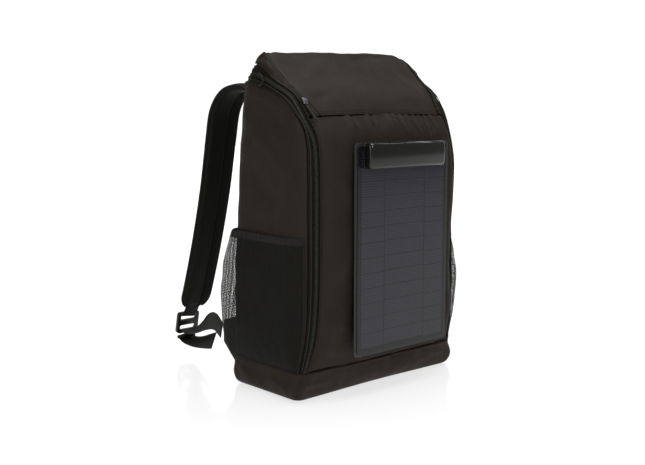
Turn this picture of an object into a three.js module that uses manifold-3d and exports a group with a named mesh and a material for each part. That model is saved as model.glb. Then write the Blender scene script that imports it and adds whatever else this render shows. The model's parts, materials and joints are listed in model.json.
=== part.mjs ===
// A solar backpack: a soft two-part bag that opens like a clamshell, with a hood lid, side mesh pockets,
// padded shoulder straps and a solar panel with its charge controller hung on the front.
//
// Millimetres. +Z is up, the front with the solar panel faces -Y and the wearer's side faces +Y.
// The origin is on the floor, at the middle of the underside of the base.

import * as THREE from "three";
import { mergeVertices } from "three/addons/utils/BufferGeometryUtils.js";
import Module from "manifold-3d";

const wasm = await Module();
wasm.setup();

// ---------------------------------------------------------------- driving dimensions
const GAP = 0.4; // free gap between neighbouring pieces
const SKIN = 3; // lined fabric panel thickness
const BACK_Y = 60; // outer face of the back panel
const BASE_TOP = 40; // top of the base boot
const BASE_HALF_WIDTH = 149; // underside of the base
const BASE_FRONT_Y = -70; // front edge of the underside
const POCKET_TOP = 213; // top of the elastic hem
const HEM_HEIGHT = 10;

// Stations up the bag. s is the rail where the side panel's flat ends and f is the rail where the face
// starts, both as [y, z]. side and face are their half widths, and the corner between them is a quarter
// ellipse. The main zip lies on that corner: zip holds the angles of its rear edge, its coil and its front
// edge, in degrees from the side. rear is the radius of the rear corner. The face rail turns into the lid
// at station LID.
const STATIONS = [
  { s: [-66, 41], f: [-87, 41], side: 151, face: 129, zip: [33, 50, 58], rear: 10 },
  { s: [-60, 85], f: [-99, 85], side: 152, face: 112, zip: [38, 51, 58], rear: 16 },
  { s: [-55, 140], f: [-103, 140], side: 152, face: 104, zip: [40, 52, 58], rear: 20 },
  { s: [-53, 220], f: [-104, 220], side: 152, face: 102, zip: [40, 52, 58], rear: 24 },
  { s: [-52, 288], f: [-103, 290], side: 151, face: 102, zip: [40, 52, 58], rear: 28 },
  { s: [-58, 322], f: [-95, 337], side: 149, face: 106, zip: [40, 52, 60], rear: 32 },
  { s: [-72, 347], f: [-76, 364], side: 147, face: 117, zip: [35, 47, 62], rear: 36 },
  { s: [-56, 376], f: [-54, 391], side: 144.5, face: 126, zip: [2, 42, 66], rear: 38 },
  { s: [-22, 393], f: [-26, 412], side: 143, face: 129, zip: [2, 28, 46], rear: 38 },
  { s: [4, 399.5], f: [2, 438], side: 142, face: 128, zip: [2, 20, 40], rear: 38 },
  { s: [14, 402], f: [13, 447], side: 141.5, face: 123, zip: [2, 19, 40], rear: 38 },
  { s: [22, 403.5], f: [26, 445], side: 141, face: 117, zip: [2, 19, 40], rear: 38 },
];
const LID = 6; // the station of the seam between front panel and lid
const LAST = STATIONS.length - 1;

const LID_SEAM = 0.015; // half the gap at the seam, in stations
const LID_ZIP = [76, 87]; // the lid zip's place on the corner, in degrees
const CROWN = 2; // the face and the lid bulge this much in the middle

const PANEL = { width: 176, height: 275, bottom: 55, back: -109, radius: 6, centreX: 4 };
const CONTROLLER = { width: 140, height: 33, depth: 15, radius: 5 };
const STRAP = { width: 50, thick: 11, webbing: 25, webThick: 1.8 };
const SLIDERS = { lidX: -127.8, lidStation: 0.6, lidLift: 1.8, mainX: -14, mainLift: 0.5 };

// ---------------------------------------------------------------- materials
const finish = (color, roughness, metalness = 0) =>
  new THREE.MeshStandardMaterial({ color, roughness, metalness });
const MATERIAL = {
  fabric: finish(0x2b2521, 0.75),
  mesh: finish(0x16170f, 0.9),
  webbing: finish(0x14140f, 0.8),
  zip: finish(0x1a1c18, 0.6),
  padding: finish(0x1a1a17, 0.9),
  lining: finish(0x3a3a3c, 0.9),
  plastic: finish(0x151614, 0.35),
  metal: finish(0x55565a, 0.3, 0.9),
  cells: finish(0x17191f, 0.25, 0.1),
  board: finish(0x1d1e1f, 0.5),
  circuit: finish(0x1d4a2c, 0.5),
};

// ---------------------------------------------------------------- shape tools
const V = (x, y, z) => new THREE.Vector3(x, y, z);
const bag = new THREE.Group();

function add(name, geometry, material) {
  const mesh = new THREE.Mesh(geometry, material);
  mesh.name = name;
  bag.add(mesh);
  return mesh;
}

// A closed solid through rings of points, each ring with the same even number of points in the same
// order. A ring runs out along one edge of its section and back along the other, so that point k faces
// point n - 1 - k, and both end rings are closed by a ladder of faces between the two edges.
function loft(rings) {
  const n = rings[0].length;
  const positions = rings.flat().flatMap((p) => [p.x, p.y, p.z]);
  const index = [];
  for (let i = 0; i + 1 < rings.length; i++)
    for (let k = 0; k < n; k++) {
      const a = i * n + k;
      const b = i * n + ((k + 1) % n);
      index.push(a, b, b + n, a, b + n, a + n);
    }
  const last = (rings.length - 1) * n;
  for (let k = 0; k + 1 < n / 2; k++) {
    const [near, far] = [n - 1 - k, n - 2 - k];
    index.push(k, near, far, k, far, k + 1);
    index.push(last + k, last + far, last + near, last + k, last + k + 1, last + far);
  }
  const geometry = new THREE.BufferGeometry();
  geometry.setAttribute("position", new THREE.Float32BufferAttribute(positions, 3));
  geometry.setIndex(index);
  return outward(geometry);
}

// Turns the faces round if the solid is inside out.
function outward(source) {
  const geometry = source.index ? source : mergeVertices(bare(source), 1e-4);
  const p = geometry.attributes.position;
  const index = geometry.index.array;
  const corner = (i) => new THREE.Vector3().fromBufferAttribute(p, index[i]);
  let volume = 0;
  for (let i = 0; i < index.length; i += 3)
    volume += corner(i).dot(corner(i + 1).cross(corner(i + 2)));
  if (volume < 0)
    for (let i = 0; i < index.length; i += 3)
      [index[i + 1], index[i + 2]] = [index[i + 2], index[i + 1]];
  return geometry;
}

// A copy of a geometry mirrored to the other side of the bag.
function mirrored(geometry) {
  return outward(geometry.clone().scale(-1, 1, 1));
}

// The stuffed bag has settled a little to one side: the front of its right flank is drawn in, most where
// the base seam and the elastic hem pinch it. Every shell piece goes through here.
const SETTLE = {
  x: [70, 150], // from nothing to all, towards the right
  y: [-60, 50], // from all to nothing, towards the back
  inwards: [
    [0, -3], [20, 0], [41, 15], [110, 11], [170, 12], [213, 15], [240, 11], [300, 6], [347, 12], [376, 11],
    [400, 3], [460, 0],
  ],
};
function settled(geometry) {
  const p = geometry.attributes.position;
  for (let i = 0; i < p.count; i++) {
    const right = THREE.MathUtils.smoothstep(p.getX(i), ...SETTLE.x);
    const front = 1 - THREE.MathUtils.smoothstep(p.getY(i), ...SETTLE.y);
    p.setX(i, p.getX(i) - right * front * inwardAt(p.getZ(i)));
  }
  return geometry;
}

// How far the right flank is drawn in at a height.
function inwardAt(z) {
  const table = SETTLE.inwards;
  const k = Math.max(1, table.findIndex((row) => row[0] > z));
  const [[z0, v0], [z1, v1]] = [table[k - 1], table[k]];
  return v0 + ((v1 - v0) * (z - z0)) / (z1 - z0);
}

// A copy with nothing but its positions, so that corners can be merged.
function bare(geometry) {
  const g = geometry.clone();
  for (const key of Object.keys(g.attributes)) if (key !== "position") g.deleteAttribute(key);
  return g;
}

function solid(geometry) {
  const merged = mergeVertices(bare(geometry), 1e-4);
  return new wasm.Manifold(
    new wasm.Mesh({
      numProp: 3,
      vertProperties: new Float32Array(merged.attributes.position.array),
      triVerts: new Uint32Array(merged.index.array),
    }),
  );
}

function geometryOf(manifold) {
  const mesh = manifold.getMesh();
  const g = new THREE.BufferGeometry();
  g.setAttribute("position", new THREE.BufferAttribute(mesh.vertProperties, 3));
  g.setIndex(new THREE.BufferAttribute(mesh.triVerts, 1));
  return g;
}

const cut = (whole, ...tools) =>
  geometryOf(tools.reduce((left, tool) => left.subtract(solid(tool)), solid(whole)));

// A box between two corners.
function block(low, high) {
  const g = new THREE.BoxGeometry(high[0] - low[0], high[1] - low[1], high[2] - low[2]);
  return g.translate((low[0] + high[0]) / 2, (low[1] + high[1]) / 2, (low[2] + high[2]) / 2);
}

// A rectangle with round corners, centred on the origin, as a Shape or a hole's Path.
function roundRect(width, height, radius, kind = THREE.Shape) {
  const w = width / 2;
  const h = height / 2;
  const outline = new kind();
  outline.moveTo(-w + radius, -h);
  outline.absarc(w - radius, -h + radius, radius, -Math.PI / 2, 0);
  outline.absarc(w - radius, h - radius, radius, 0, Math.PI / 2);
  outline.absarc(-w + radius, h - radius, radius, Math.PI / 2, Math.PI);
  outline.absarc(-w + radius, -h + radius, radius, Math.PI, 1.5 * Math.PI);
  outline.closePath();
  return outline;
}

// A flat plate with the given outline in X and Z, from y = back towards the front by thick.
function frontPlate(outline, back, thick, centreX, centreZ) {
  const g = new THREE.ExtrudeGeometry(outline, {
    depth: thick,
    bevelEnabled: false,
    curveSegments: 4,
  });
  return g.rotateX(Math.PI / 2).translate(centreX, back, centreZ);
}

// Turns a shape drawn in Y and Z and extruded along the third axis so that it is extruded along X.
const sideways = (geometry) => geometry.rotateX(Math.PI / 2).rotateZ(Math.PI / 2);

// A band of rectangular section along a path. across gives the width direction at each step.
function band(points, across, width, thick) {
  const curve = new THREE.CatmullRomCurve3(points, false, "centripetal");
  const steps = (points.length - 1) * 4;
  const rings = [];
  for (let i = 0; i <= steps; i++) {
    const t = i / steps;
    const at = curve.getPoint(t);
    const along = curve.getTangent(t);
    const side = across(t);
    side.addScaledVector(along, -side.dot(along)).normalize();
    const normal = new THREE.Vector3().crossVectors(along, side);
    const ring = [[-1, -1], [1, -1], [1, 1], [-1, 1]].map(([u, v]) =>
      at.clone().addScaledVector(side, (u * width) / 2).addScaledVector(normal, (v * thick) / 2),
    );
    rings.push(ring);
  }
  return loft(rings);
}

// ---------------------------------------------------------------- the bag's rails
const lerp = (a, b, t) => a + (b - a) * t;

// The station at a fractional number, between the listed ones.
function station(at) {
  const i = Math.min(Math.floor(at), LAST - 1);
  const mix = (a, b) => (Array.isArray(a) ? a.map((v, k) => lerp(v, b[k], at - i)) : lerp(a, b, at - i));
  const keys = Object.keys(STATIONS[i]);
  return Object.fromEntries(keys.map((k) => [k, mix(STATIONS[i][k], STATIONS[i + 1][k])]));
}

// A point on the left front corner of the bag. angle is 0 at the side and 90 degrees at the face.
function cornerPoint(at, angle, inset) {
  const { s, f, side, face } = station(at);
  const a = THREE.MathUtils.degToRad(angle);
  const depth = Math.hypot(f[0] - s[0], f[1] - s[1]);
  const share = ((depth - inset) / depth) * Math.sin(a);
  const x = face + (side - face - inset) * Math.cos(a);
  return V(-x, lerp(s[0], f[0], share), lerp(s[1], f[1], share));
}

// A point on the left rear corner, level with the side rail. angle is 0 at the side, 90 at the back.
function rearPoint(at, angle, inset) {
  const { s, side, rear } = station(at);
  const a = THREE.MathUtils.degToRad(angle);
  const r = rear - inset;
  return V(-(side - rear + r * Math.cos(a)), BACK_Y - rear + r * Math.sin(a), s[1]);
}

// The sections of a strip of the left front corner between two angles, each a function of the station.
function stripRings(stations, fromAngle, toAngle, thick) {
  return stations.map((at) => {
    const from = fromAngle(at);
    const to = toAngle(at);
    const outer = [0, 1 / 3, 2 / 3, 1].map((t) => cornerPoint(at, lerp(from, to, t), 0));
    const inner = [1, 2 / 3, 1 / 3, 0].map((t) => cornerPoint(at, lerp(from, to, t), thick));
    return [...outer, ...inner];
  });
}

const allStations = STATIONS.map((_, i) => i);
const SEAM_ANGLE = 1.2; // keeps the gap between strips
const zipStart = (at) => station(at).zip[0];
const coilAngle = (at) => station(at).zip[1];
const zipEnd = (at) => station(at).zip[2];

// ---------------------------------------------------------------- base
// The plan outline of the base at a height: straight back, tucked front, with bevelled corners.
function baseOutline(z, inset) {
  const t = z / BASE_TOP;
  const top = STATIONS[0];
  const half = lerp(BASE_HALF_WIDTH, top.side, t) - inset;
  const front = lerp(BASE_FRONT_Y, top.f[0], t) + inset;
  const side = lerp(BASE_FRONT_Y + 8, top.s[0], t);
  const face = lerp(BASE_HALF_WIDTH - 8, top.face, t) - inset / 2;
  const back = BACK_Y - inset;
  const bevel = 5;
  const corner = [lerp(face, half, 0.7), lerp(side, front, 0.7)];
  return [
    V(-half, side, z),
    V(-corner[0], corner[1], z),
    V(-face, front, z),
    V(face, front, z),
    V(corner[0], corner[1], z),
    V(half, side, z),
    V(half, back - bevel, z),
    V(half - bevel, back, z),
    V(-half + bevel, back, z),
    V(-half, back - bevel, z),
  ];
}
const BOOT_HEIGHTS = [0, 20, BASE_TOP - GAP];
const boot = loft([
  ...BOOT_HEIGHTS.map((z) => baseOutline(z, 0)),
  ...BOOT_HEIGHTS.toReversed().map((z) => baseOutline(Math.max(z, SKIN), SKIN)),
]);
add("base_boot", settled(boot), MATERIAL.fabric);
add(
  "base_board",
  loft([
    baseOutline(SKIN + GAP, SKIN + 3),
    baseOutline(SKIN + GAP + 2, SKIN + 3),
  ]),
  MATERIAL.board,
);

// ---------------------------------------------------------------- side panels and back
// The side panel runs from the main zip round both corners to the back panel.
const SIDE_ANGLES = [0, 0.5, 1];
const sidePanel = loft(
  allStations.map((at) => {
    const end = at === LAST ? 60 : 88;
    const shell = (inset) => [
      ...SIDE_ANGLES.map((t) => cornerPoint(at, lerp(zipStart(at) - SEAM_ANGLE, 0, t), inset)),
      ...SIDE_ANGLES.map((t) => rearPoint(at, lerp(4, end, t), inset)),
    ];
    return [...shell(0), ...shell(SKIN).reverse()];
  }),
);
add("left_side_panel", sidePanel, MATERIAL.fabric);
add("right_side_panel", settled(mirrored(sidePanel)), MATERIAL.fabric);

const BACK_THICK = 7;
const backPanel = loft(
  allStations.map((at) => {
    const { s, side, rear } = station(at);
    const half = side - rear - GAP;
    const inner = BACK_Y - BACK_THICK;
    return [V(-half, inner, s[1]), V(half, inner, s[1]), V(half, BACK_Y, s[1]), V(-half, BACK_Y, s[1])];
  }),
);
add("back_panel", settled(backPanel), MATERIAL.padding);

// Two padded mesh columns on the wearer's side.
const PAD = { width: 88, height: 300, thick: 11, centreX: 62, centreZ: 205 };
for (const [name, side] of [["left_back_pad", -1], ["right_back_pad", 1]]) {
  const outline = roundRect(PAD.width, PAD.height, 22);
  const back = BACK_Y + GAP + PAD.thick;
  add(name, frontPlate(outline, back, PAD.thick, side * PAD.centreX, PAD.centreZ), MATERIAL.padding);
}

// The padded sleeve for a laptop stands inside, against the back panel.
const SLEEVE = { width: 264, height: 258, thick: 5, bottom: 8, gap: 30 };
const sleeveFront = BACK_Y - BACK_THICK - SLEEVE.gap;
add(
  "laptop_sleeve",
  frontPlate(
    roundRect(SLEEVE.width, SLEEVE.height, 12),
    sleeveFront + SLEEVE.thick,
    SLEEVE.thick,
    0,
    SLEEVE.bottom + SLEEVE.height / 2,
  ),
  MATERIAL.lining,
);

// ---------------------------------------------------------------- top edge across the back
// Behind the last station the zip and the gore turn round the rear corners and run across the back.
// around is 0 at the side and 90 at the back, up is 0 at the side rail and 90 at the lid's rear edge.
// The crest is full at the side and at the back, and flatter on the corner between them.
const CREST_HOLLOW = 0.7;
function crestPoint(around, up, inset) {
  const { s, f, face, side, rear } = station(LAST);
  const low = rearPoint(LAST, around, inset);
  const turn = around / 90;
  const high = V(-lerp(face, side - rear, turn), f[0] + 4 * turn, 0);
  const a = THREE.MathUtils.degToRad(up);
  const hollow = CREST_HOLLOW * Math.sin(Math.PI * turn);
  const out = lerp(Math.cos(a), 1 - Math.sin(a), hollow);
  return V(lerp(high.x, low.x, out), lerp(high.y, low.y, out), s[1] + (f[1] - s[1] - inset) * Math.sin(a));
}
const CREST_TURNS = [8, 35, 62, 90];

// The crest's part of a strip between two angles, as sections from the left side to the right side.
function crestRings(from, to, thick) {
  const left = CREST_TURNS.map((around) => {
    const edge = [0, 1 / 3, 2 / 3, 1];
    const outer = edge.map((t) => crestPoint(around, lerp(from, to, t), 0));
    const inner = edge.map((t) => crestPoint(around, lerp(from, to, t), thick)).reverse();
    return [...outer, ...inner];
  });
  return [...left, ...mirroredRings(left)];
}

// The same sections on the right, listed the other way round so that a strip can go on through them.
function mirroredRings(rings) {
  return rings.map((ring) => ring.map((p) => V(-p.x, p.y, p.z))).reverse();
}

// A strip up the left side, across the back and down the right side.
function hoop(stations, from, to, thick) {
  const left = stripRings(stations, from, to, thick);
  return loft([...left, ...crestRings(from(LAST), to(LAST), thick), ...mirroredRings(left)]);
}

// ---------------------------------------------------------------- zips and gores
// Each half of the main zip is one tape from the base up, over the back and down the other side.
const TAPE = 2;
const rearTape = hoop(allStations, zipStart, (at) => coilAngle(at) - SEAM_ANGLE, TAPE);
const frontTape = hoop(allStations, coilAngle, (at) => zipEnd(at) - SEAM_ANGLE, TAPE);
add("main_zip_rear_tape", settled(rearTape), MATERIAL.zip);
add("main_zip_front_tape", settled(frontTape), MATERIAL.zip);

// The gore closes the hood's sides and back between the main zip and the lid zip.
const lidStations = [LID + LID_SEAM, ...allStations.filter((at) => at > LID)];
const GORE_THICK = 2.4;
const goreEnd = LID_ZIP[0] - SEAM_ANGLE;
const gore = loft(stripRings(lidStations, zipEnd, () => goreEnd, GORE_THICK));
add("left_gore", gore, MATERIAL.fabric);
add("right_gore", settled(mirrored(gore)), MATERIAL.fabric);
add("back_gore", settled(loft(crestRings(zipEnd(LAST), goreEnd, GORE_THICK))), MATERIAL.fabric);
const lidTape = hoop(lidStations, () => LID_ZIP[0], () => LID_ZIP[1], TAPE);
add("lid_zip_tape", settled(lidTape), MATERIAL.zip);

// ---------------------------------------------------------------- front panel and lid
// A point on the face, at x, lifted off the face rail by the crown and sunk by the inset.
function facePoint(at, x, lift) {
  const { s, f } = station(at);
  const depth = Math.hypot(f[0] - s[0], f[1] - s[1]);
  return V(x, f[0] + ((f[0] - s[0]) / depth) * lift, f[1] + ((f[1] - s[1]) / depth) * lift);
}

// The front panel wraps both front corners as far as the main zip.
const frontPanel = loft(
  [...allStations.filter((at) => at < LID), LID - LID_SEAM].map((at) => {
    const angles = [0, 0.5, 1].map((t) => lerp(zipEnd(at) + SEAM_ANGLE, 90, t));
    const half = (inset) => angles.map((angle) => cornerPoint(at, angle, inset));
    const shell = (inset) => [
      ...half(inset),
      facePoint(at, 0, CROWN - inset),
      ...half(inset).map((p) => V(-p.x, p.y, p.z)).reverse(),
    ];
    return [...shell(0), ...shell(SKIN).reverse()];
  }),
);
add("front_panel", settled(frontPanel), MATERIAL.fabric);

const lidShell = loft(
  lidStations.map((at) => {
    const half = station(at).face;
    const shell = (inset) => [-half, 0, half].map((x) => facePoint(at, x, (x === 0 ? CROWN : 0) - inset));
    return [...shell(0), ...shell(SKIN).reverse()];
  }),
);
add("lid", settled(lidShell), MATERIAL.fabric);

// The floor of the pocket under the lid.
const linerShape = new THREE.Shape([
  new THREE.Vector2(-74, 348), new THREE.Vector2(-20, 352), new THREE.Vector2(28, 388),
  new THREE.Vector2(28, 390), new THREE.Vector2(-21, 354), new THREE.Vector2(-74, 350),
]);
const LINER_HALF = 108;
const liner = new THREE.ExtrudeGeometry(linerShape, { depth: 2 * LINER_HALF, bevelEnabled: false });
add("lid_pocket_floor", sideways(liner).translate(-LINER_HALF, 0, 0), MATERIAL.lining);

// ---------------------------------------------------------------- solar panel and controller
const panelMid = PANEL.bottom + PANEL.height / 2;
const board = { back: PANEL.back, thick: 1.6 };
const cells = { back: board.back - board.thick - 0.3, thick: 0.8, border: 4 };
const panelPlate = (border, back, thick) =>
  frontPlate(
    roundRect(PANEL.width - 2 * border, PANEL.height - 2 * border, PANEL.radius - border / 2),
    back,
    thick,
    PANEL.centreX,
    panelMid,
  );
add("panel_board", panelPlate(0, board.back, board.thick), MATERIAL.board);
add("cell_laminate", panelPlate(cells.border, cells.back, cells.thick), MATERIAL.cells);
const HOOK_TAPE = { offset: 62, half: 12, thick: 2, low: 80, high: 285 };
for (const [name, side] of [["left_panel_tape", -1], ["right_panel_tape", 1]]) {
  const x = PANEL.centreX + side * HOOK_TAPE.offset;
  const y = PANEL.back + GAP;
  const tape = block(
    [x - HOOK_TAPE.half, y, HOOK_TAPE.low],
    [x + HOOK_TAPE.half, y + HOOK_TAPE.thick, HOOK_TAPE.high],
  );
  add(name, tape, MATERIAL.webbing);
}

const box = { ...CONTROLLER, back: cells.back - cells.thick - 0.3, wall: 2, plate: 1.5 };
box.midX = PANEL.centreX - 4;
box.midZ = PANEL.bottom + PANEL.height - box.height / 2;
box.top = box.midZ + box.height / 2;
box.front = box.back - box.depth;
function boxPlate(inset, back, front) {
  const outline = roundRect(box.width - 2 * inset, box.height - 2 * inset, box.radius - inset);
  return frontPlate(outline, back, back - front, box.midX, box.midZ);
}
add("controller_base", boxPlate(0, box.back, box.back - box.plate), MATERIAL.plastic);

const coverBack = box.back - box.plate - 0.3;
const socket = { width: 13.2, thick: 5.8, depth: 13, x: box.midX, wall: 0.6 };
socket.y = box.front + box.wall + 0.5 + socket.thick / 2;
const cover = cut(
  boxPlate(0, coverBack, box.front),
  boxPlate(box.wall, coverBack + 1, box.front + box.wall),
  block(
    [socket.x - socket.width / 2 - 0.4, socket.y - socket.thick / 2 - 0.4, box.top - 4],
    [socket.x + socket.width / 2 + 0.4, socket.y + socket.thick / 2 + 0.4, box.top + 1],
  ),
);
add("controller_cover", cover, MATERIAL.plastic);

// The output socket: a metal shell open at the top.
const socketTop = box.top - 0.2;
function socketBlock(wall, low, high) {
  const half = socket.width / 2 - wall;
  const depth = socket.thick / 2 - wall;
  return block([socket.x - half, socket.y - depth, low], [socket.x + half, socket.y + depth, high]);
}
const socketLow = socketTop - socket.depth;
const socketShell = cut(
  socketBlock(0, socketLow, socketTop),
  socketBlock(socket.wall, socketLow + 1, socketTop + 1),
);
add("output_socket", socketShell, MATERIAL.metal);
const circuitFront = socket.y + socket.thick / 2 + 0.4;
add(
  "controller_circuit",
  block(
    [box.midX - box.width / 2 + 6, circuitFront, box.midZ - 11],
    [box.midX + box.width / 2 - 6, circuitFront + 1.6, box.midZ + 11],
  ),
  MATERIAL.circuit,
);

// ---------------------------------------------------------------- zip sliders
// A slider runs on the coil. Its pull is hinged at one end. Both are made lying along +X with the coil
// below them, and placed afterwards.
const SLIDER = { length: 11, width: 6.6, height: 4, brow: 1.6, crown: [-3, 2] };
const PULL = { length: 30, width: 5, thick: 1.4, gap: 1 }; // gap is between the slider and the pull
function sliderBody() {
  const shape = new THREE.Shape();
  shape.moveTo(-SLIDER.length / 2, 0);
  shape.lineTo(SLIDER.length / 2, 0);
  shape.lineTo(SLIDER.length / 2, SLIDER.brow);
  shape.lineTo(SLIDER.crown[1], SLIDER.height);
  shape.lineTo(SLIDER.crown[0], SLIDER.height);
  shape.lineTo(-SLIDER.length / 2, SLIDER.brow);
  shape.closePath();
  return new THREE.ExtrudeGeometry(shape, { depth: SLIDER.width, bevelEnabled: false })
    .translate(0, 0, -SLIDER.width / 2)
    .rotateX(Math.PI / 2);
}
function sliderPull() {
  const outline = roundRect(PULL.length, PULL.width, PULL.width / 2 - 0.1);
  return new THREE.ExtrudeGeometry(outline, {
    depth: PULL.thick,
    bevelEnabled: false,
    curveSegments: 3,
  }).translate(-SLIDER.length / 2 - PULL.gap - PULL.length / 2, 0, 0);
}
// along is the slider's +X and up its +Z, as unit vectors. The pull trails behind it.
function placed(geometry, at, along, up) {
  const across = new THREE.Vector3().crossVectors(up, along);
  return geometry.applyMatrix4(new THREE.Matrix4().makeBasis(along, across, up).setPosition(at));
}
const lidRail = (at) => V(0, ...station(at).f);
const lidAlong = lidRail(LID + 2).sub(lidRail(LID)).normalize();
const lidUp = V(0, -lidAlong.z, lidAlong.y);
const lidSliderAt = lidRail(LID + SLIDERS.lidStation)
  .addScaledVector(lidUp, SLIDERS.lidLift)
  .setX(SLIDERS.lidX);
add("lid_slider", placed(sliderBody(), lidSliderAt, lidAlong, lidUp), MATERIAL.metal);
add("lid_pull", placed(sliderPull(), lidSliderAt, lidAlong, lidUp), MATERIAL.webbing);

const mainSliderAt = V(SLIDERS.mainX, BACK_Y + SLIDERS.mainLift, crestPoint(90, coilAngle(LAST), 0).z);
const leftSlider = placed(sliderBody(), mainSliderAt, V(1, 0, 0), V(0, 1, 0));
const leftPull = placed(sliderPull(), mainSliderAt, V(1, 0, 0), V(0, 1, 0));
add("left_main_slider", leftSlider, MATERIAL.metal);
add("right_main_slider", mirrored(leftSlider), MATERIAL.metal);
add("left_main_pull", leftPull, MATERIAL.webbing);
add("right_main_pull", mirrored(leftPull), MATERIAL.webbing);

// ---------------------------------------------------------------- mesh pockets
// The pocket follows the side from the main zip round the rear corner and bulges: the left one most at
// the rear, the right one most at the front, where its flank is drawn in.
const POCKET_SWELL = {
  left: [0, 1.5, 3, 8, 13, 17, 19, 15, 0],
  right: [0, 15, 24, 27, 24, 20, 19, 15, 0],
};
const POCKET_EDGE = 5; // degrees between the pocket's front edge and the main zip
function pocketCurve(z, inset, swell) {
  const up = (z - BASE_TOP) / (POCKET_TOP - BASE_TOP);
  const at = stationAtHeight(z);
  const { s, side, rear } = station(at);
  const fill = Math.sin(Math.PI * (0.06 + 0.9 * up)) ** 0.8;
  const off = (k) => -(GAP + 3 + swell[k] * fill) + inset;
  const flat = (t, k) => V(-(side - off(k)), lerp(s[0], BACK_Y - rear, t), z);
  const bend = (angle, k) => rearPoint(at, angle, off(k)).setZ(z);
  const front = (angle, k) => cornerPoint(at, angle, off(k)).setZ(z);
  const edge = zipStart(at) - POCKET_EDGE;
  return [
    front(edge, 0),
    front(edge / 2 + 1, 1),
    front(2, 2),
    flat(0.3, 3),
    flat(0.6, 4),
    flat(0.9, 5),
    bend(25, 6),
    bend(50, 7),
    bend(72, 8),
  ];
}
function stationAtHeight(z) {
  const i = allStations.findLast((k) => STATIONS[k].s[1] <= z);
  return i + (z - STATIONS[i].s[1]) / (STATIONS[i + 1].s[1] - STATIONS[i].s[1]);
}
const meshHeights = [BASE_TOP + 1.2, 62, 95, 130, 165, POCKET_TOP - HEM_HEIGHT - GAP];
const hemHeights = [POCKET_TOP - HEM_HEIGHT, POCKET_TOP];
for (const side of ["left", "right"]) {
  const swell = POCKET_SWELL[side];
  const strip = (heights, thick) =>
    loft(heights.map((z) => [...pocketCurve(z, 0, swell), ...pocketCurve(z, thick, swell).reverse()]));
  const placedStrip = (g) => (side === "left" ? g : settled(mirrored(g)));
  add(`${side}_mesh_pocket`, placedStrip(strip(meshHeights, 1.6)), MATERIAL.mesh);
  add(`${side}_pocket_hem`, placedStrip(strip(hemHeights, 2)), MATERIAL.webbing);
}

// ---------------------------------------------------------------- straps
// The triangular wing that anchors the strap's webbing to the lower rear corner.
const WING = { x: 134, thick: 4, tipY: 100, tipLow: 48, tipHigh: 78, low: 12, high: 92 };
const wingShape = new THREE.Shape([
  new THREE.Vector2(BACK_Y + GAP, WING.low),
  new THREE.Vector2(WING.tipY, WING.tipLow),
  new THREE.Vector2(WING.tipY, WING.tipHigh),
  new THREE.Vector2(BACK_Y + GAP, WING.high),
]);
const wingPlate = new THREE.ExtrudeGeometry(wingShape, { depth: WING.thick, bevelEnabled: false });
const wing = sideways(wingPlate).translate(-WING.x - WING.thick / 2, 0, 0);

// The padded strap hangs in an arc behind the bag, then its webbing returns to the wing.
const padPath = [
  V(-73, 77, 394), V(-79, 104, 402), V(-85, 132, 396), V(-88, 154, 370), V(-88, 166, 325), V(-88, 182, 252),
  V(-88, 205, 172), V(-90, 228, 98), V(-92, 238, 70),
];
const webPath = [
  V(-97, 246, 34), V(-104, 226, 37), V(-112, 194, 48), V(-121, 160, 63), V(-129, 130, 70), V(-134, 107, 62),
];
const webTwist = (t) => V(1 - t, 0.1 * t, 1.6 * t);
const tailPath = [V(-99, 249, 22), V(-104, 230, 21), V(-111, 200, 25), V(-120, 166, 33), V(-126, 138, 40)];
const tailTwist = (t) => V(1 - 0.6 * t, 0, 0.1 + 0.7 * t);

// The ladder lock hangs in line with the pad: a frame with two slots and a bar between them.
const LOCK = { width: 38, height: 34, thick: 5, x: -95, y: 253, z: 45, slot: 8, rail: 8, tilt: 12 };
const lockShape = roundRect(LOCK.width, LOCK.height, 5);
for (const z of [-LOCK.slot, LOCK.slot]) {
  const slot = roundRect(LOCK.width - 10, LOCK.rail, 2).getPoints(3);
  lockShape.holes.push(new THREE.Path(slot.map((p) => new THREE.Vector2(p.x, p.y + z))));
}
const lock = frontPlate(lockShape, 0, LOCK.thick, 0, 0)
  .rotateX(THREE.MathUtils.degToRad(LOCK.tilt))
  .translate(LOCK.x, LOCK.y, LOCK.z);

const strapPieces = [
  ["strap_wing", wing, MATERIAL.fabric],
  ["shoulder_pad", band(padPath, () => V(1, 0, 0), STRAP.width, STRAP.thick), MATERIAL.padding],
  ["strap_webbing", band(webPath, webTwist, STRAP.webbing, STRAP.webThick), MATERIAL.webbing],
  ["webbing_tail", band(tailPath, tailTwist, STRAP.webbing, STRAP.webThick), MATERIAL.webbing],
  ["ladder_lock", lock, MATERIAL.plastic],
];
for (const [name, geometry, material] of strapPieces) {
  add(`left_${name}`, geometry, material);
  add(`right_${name}`, mirrored(geometry), material);
}

// The yoke that both straps and the haul handle are sewn into.
add("strap_yoke", block([-104, BACK_Y + GAP, 372], [104, BACK_Y + GAP + 3, 400]), MATERIAL.fabric);

// The haul handle hangs down behind the yoke.
const handlePath = [
  V(-34, 75, 396), V(-32, 75, 378), V(-18, 75, 364), V(0, 75, 360),
  V(18, 75, 364), V(32, 75, 378), V(34, 75, 396),
];
const HANDLE = { width: 20, thick: 4 };
add("haul_handle", band(handlePath, () => V(0, 1, 0), HANDLE.width, HANDLE.thick), MATERIAL.webbing);

export default bag;
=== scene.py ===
"""Solar backpack: the looks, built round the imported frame.

Points and sizes are in mm and angles in degrees, and meshes are made from them in metres. The camera, the
lights and the ends of the blended pieces are in metres."""

import json
import math
from collections import namedtuple

import bmesh
import bpy
import numpy as np
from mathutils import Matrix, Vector, noise

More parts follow.
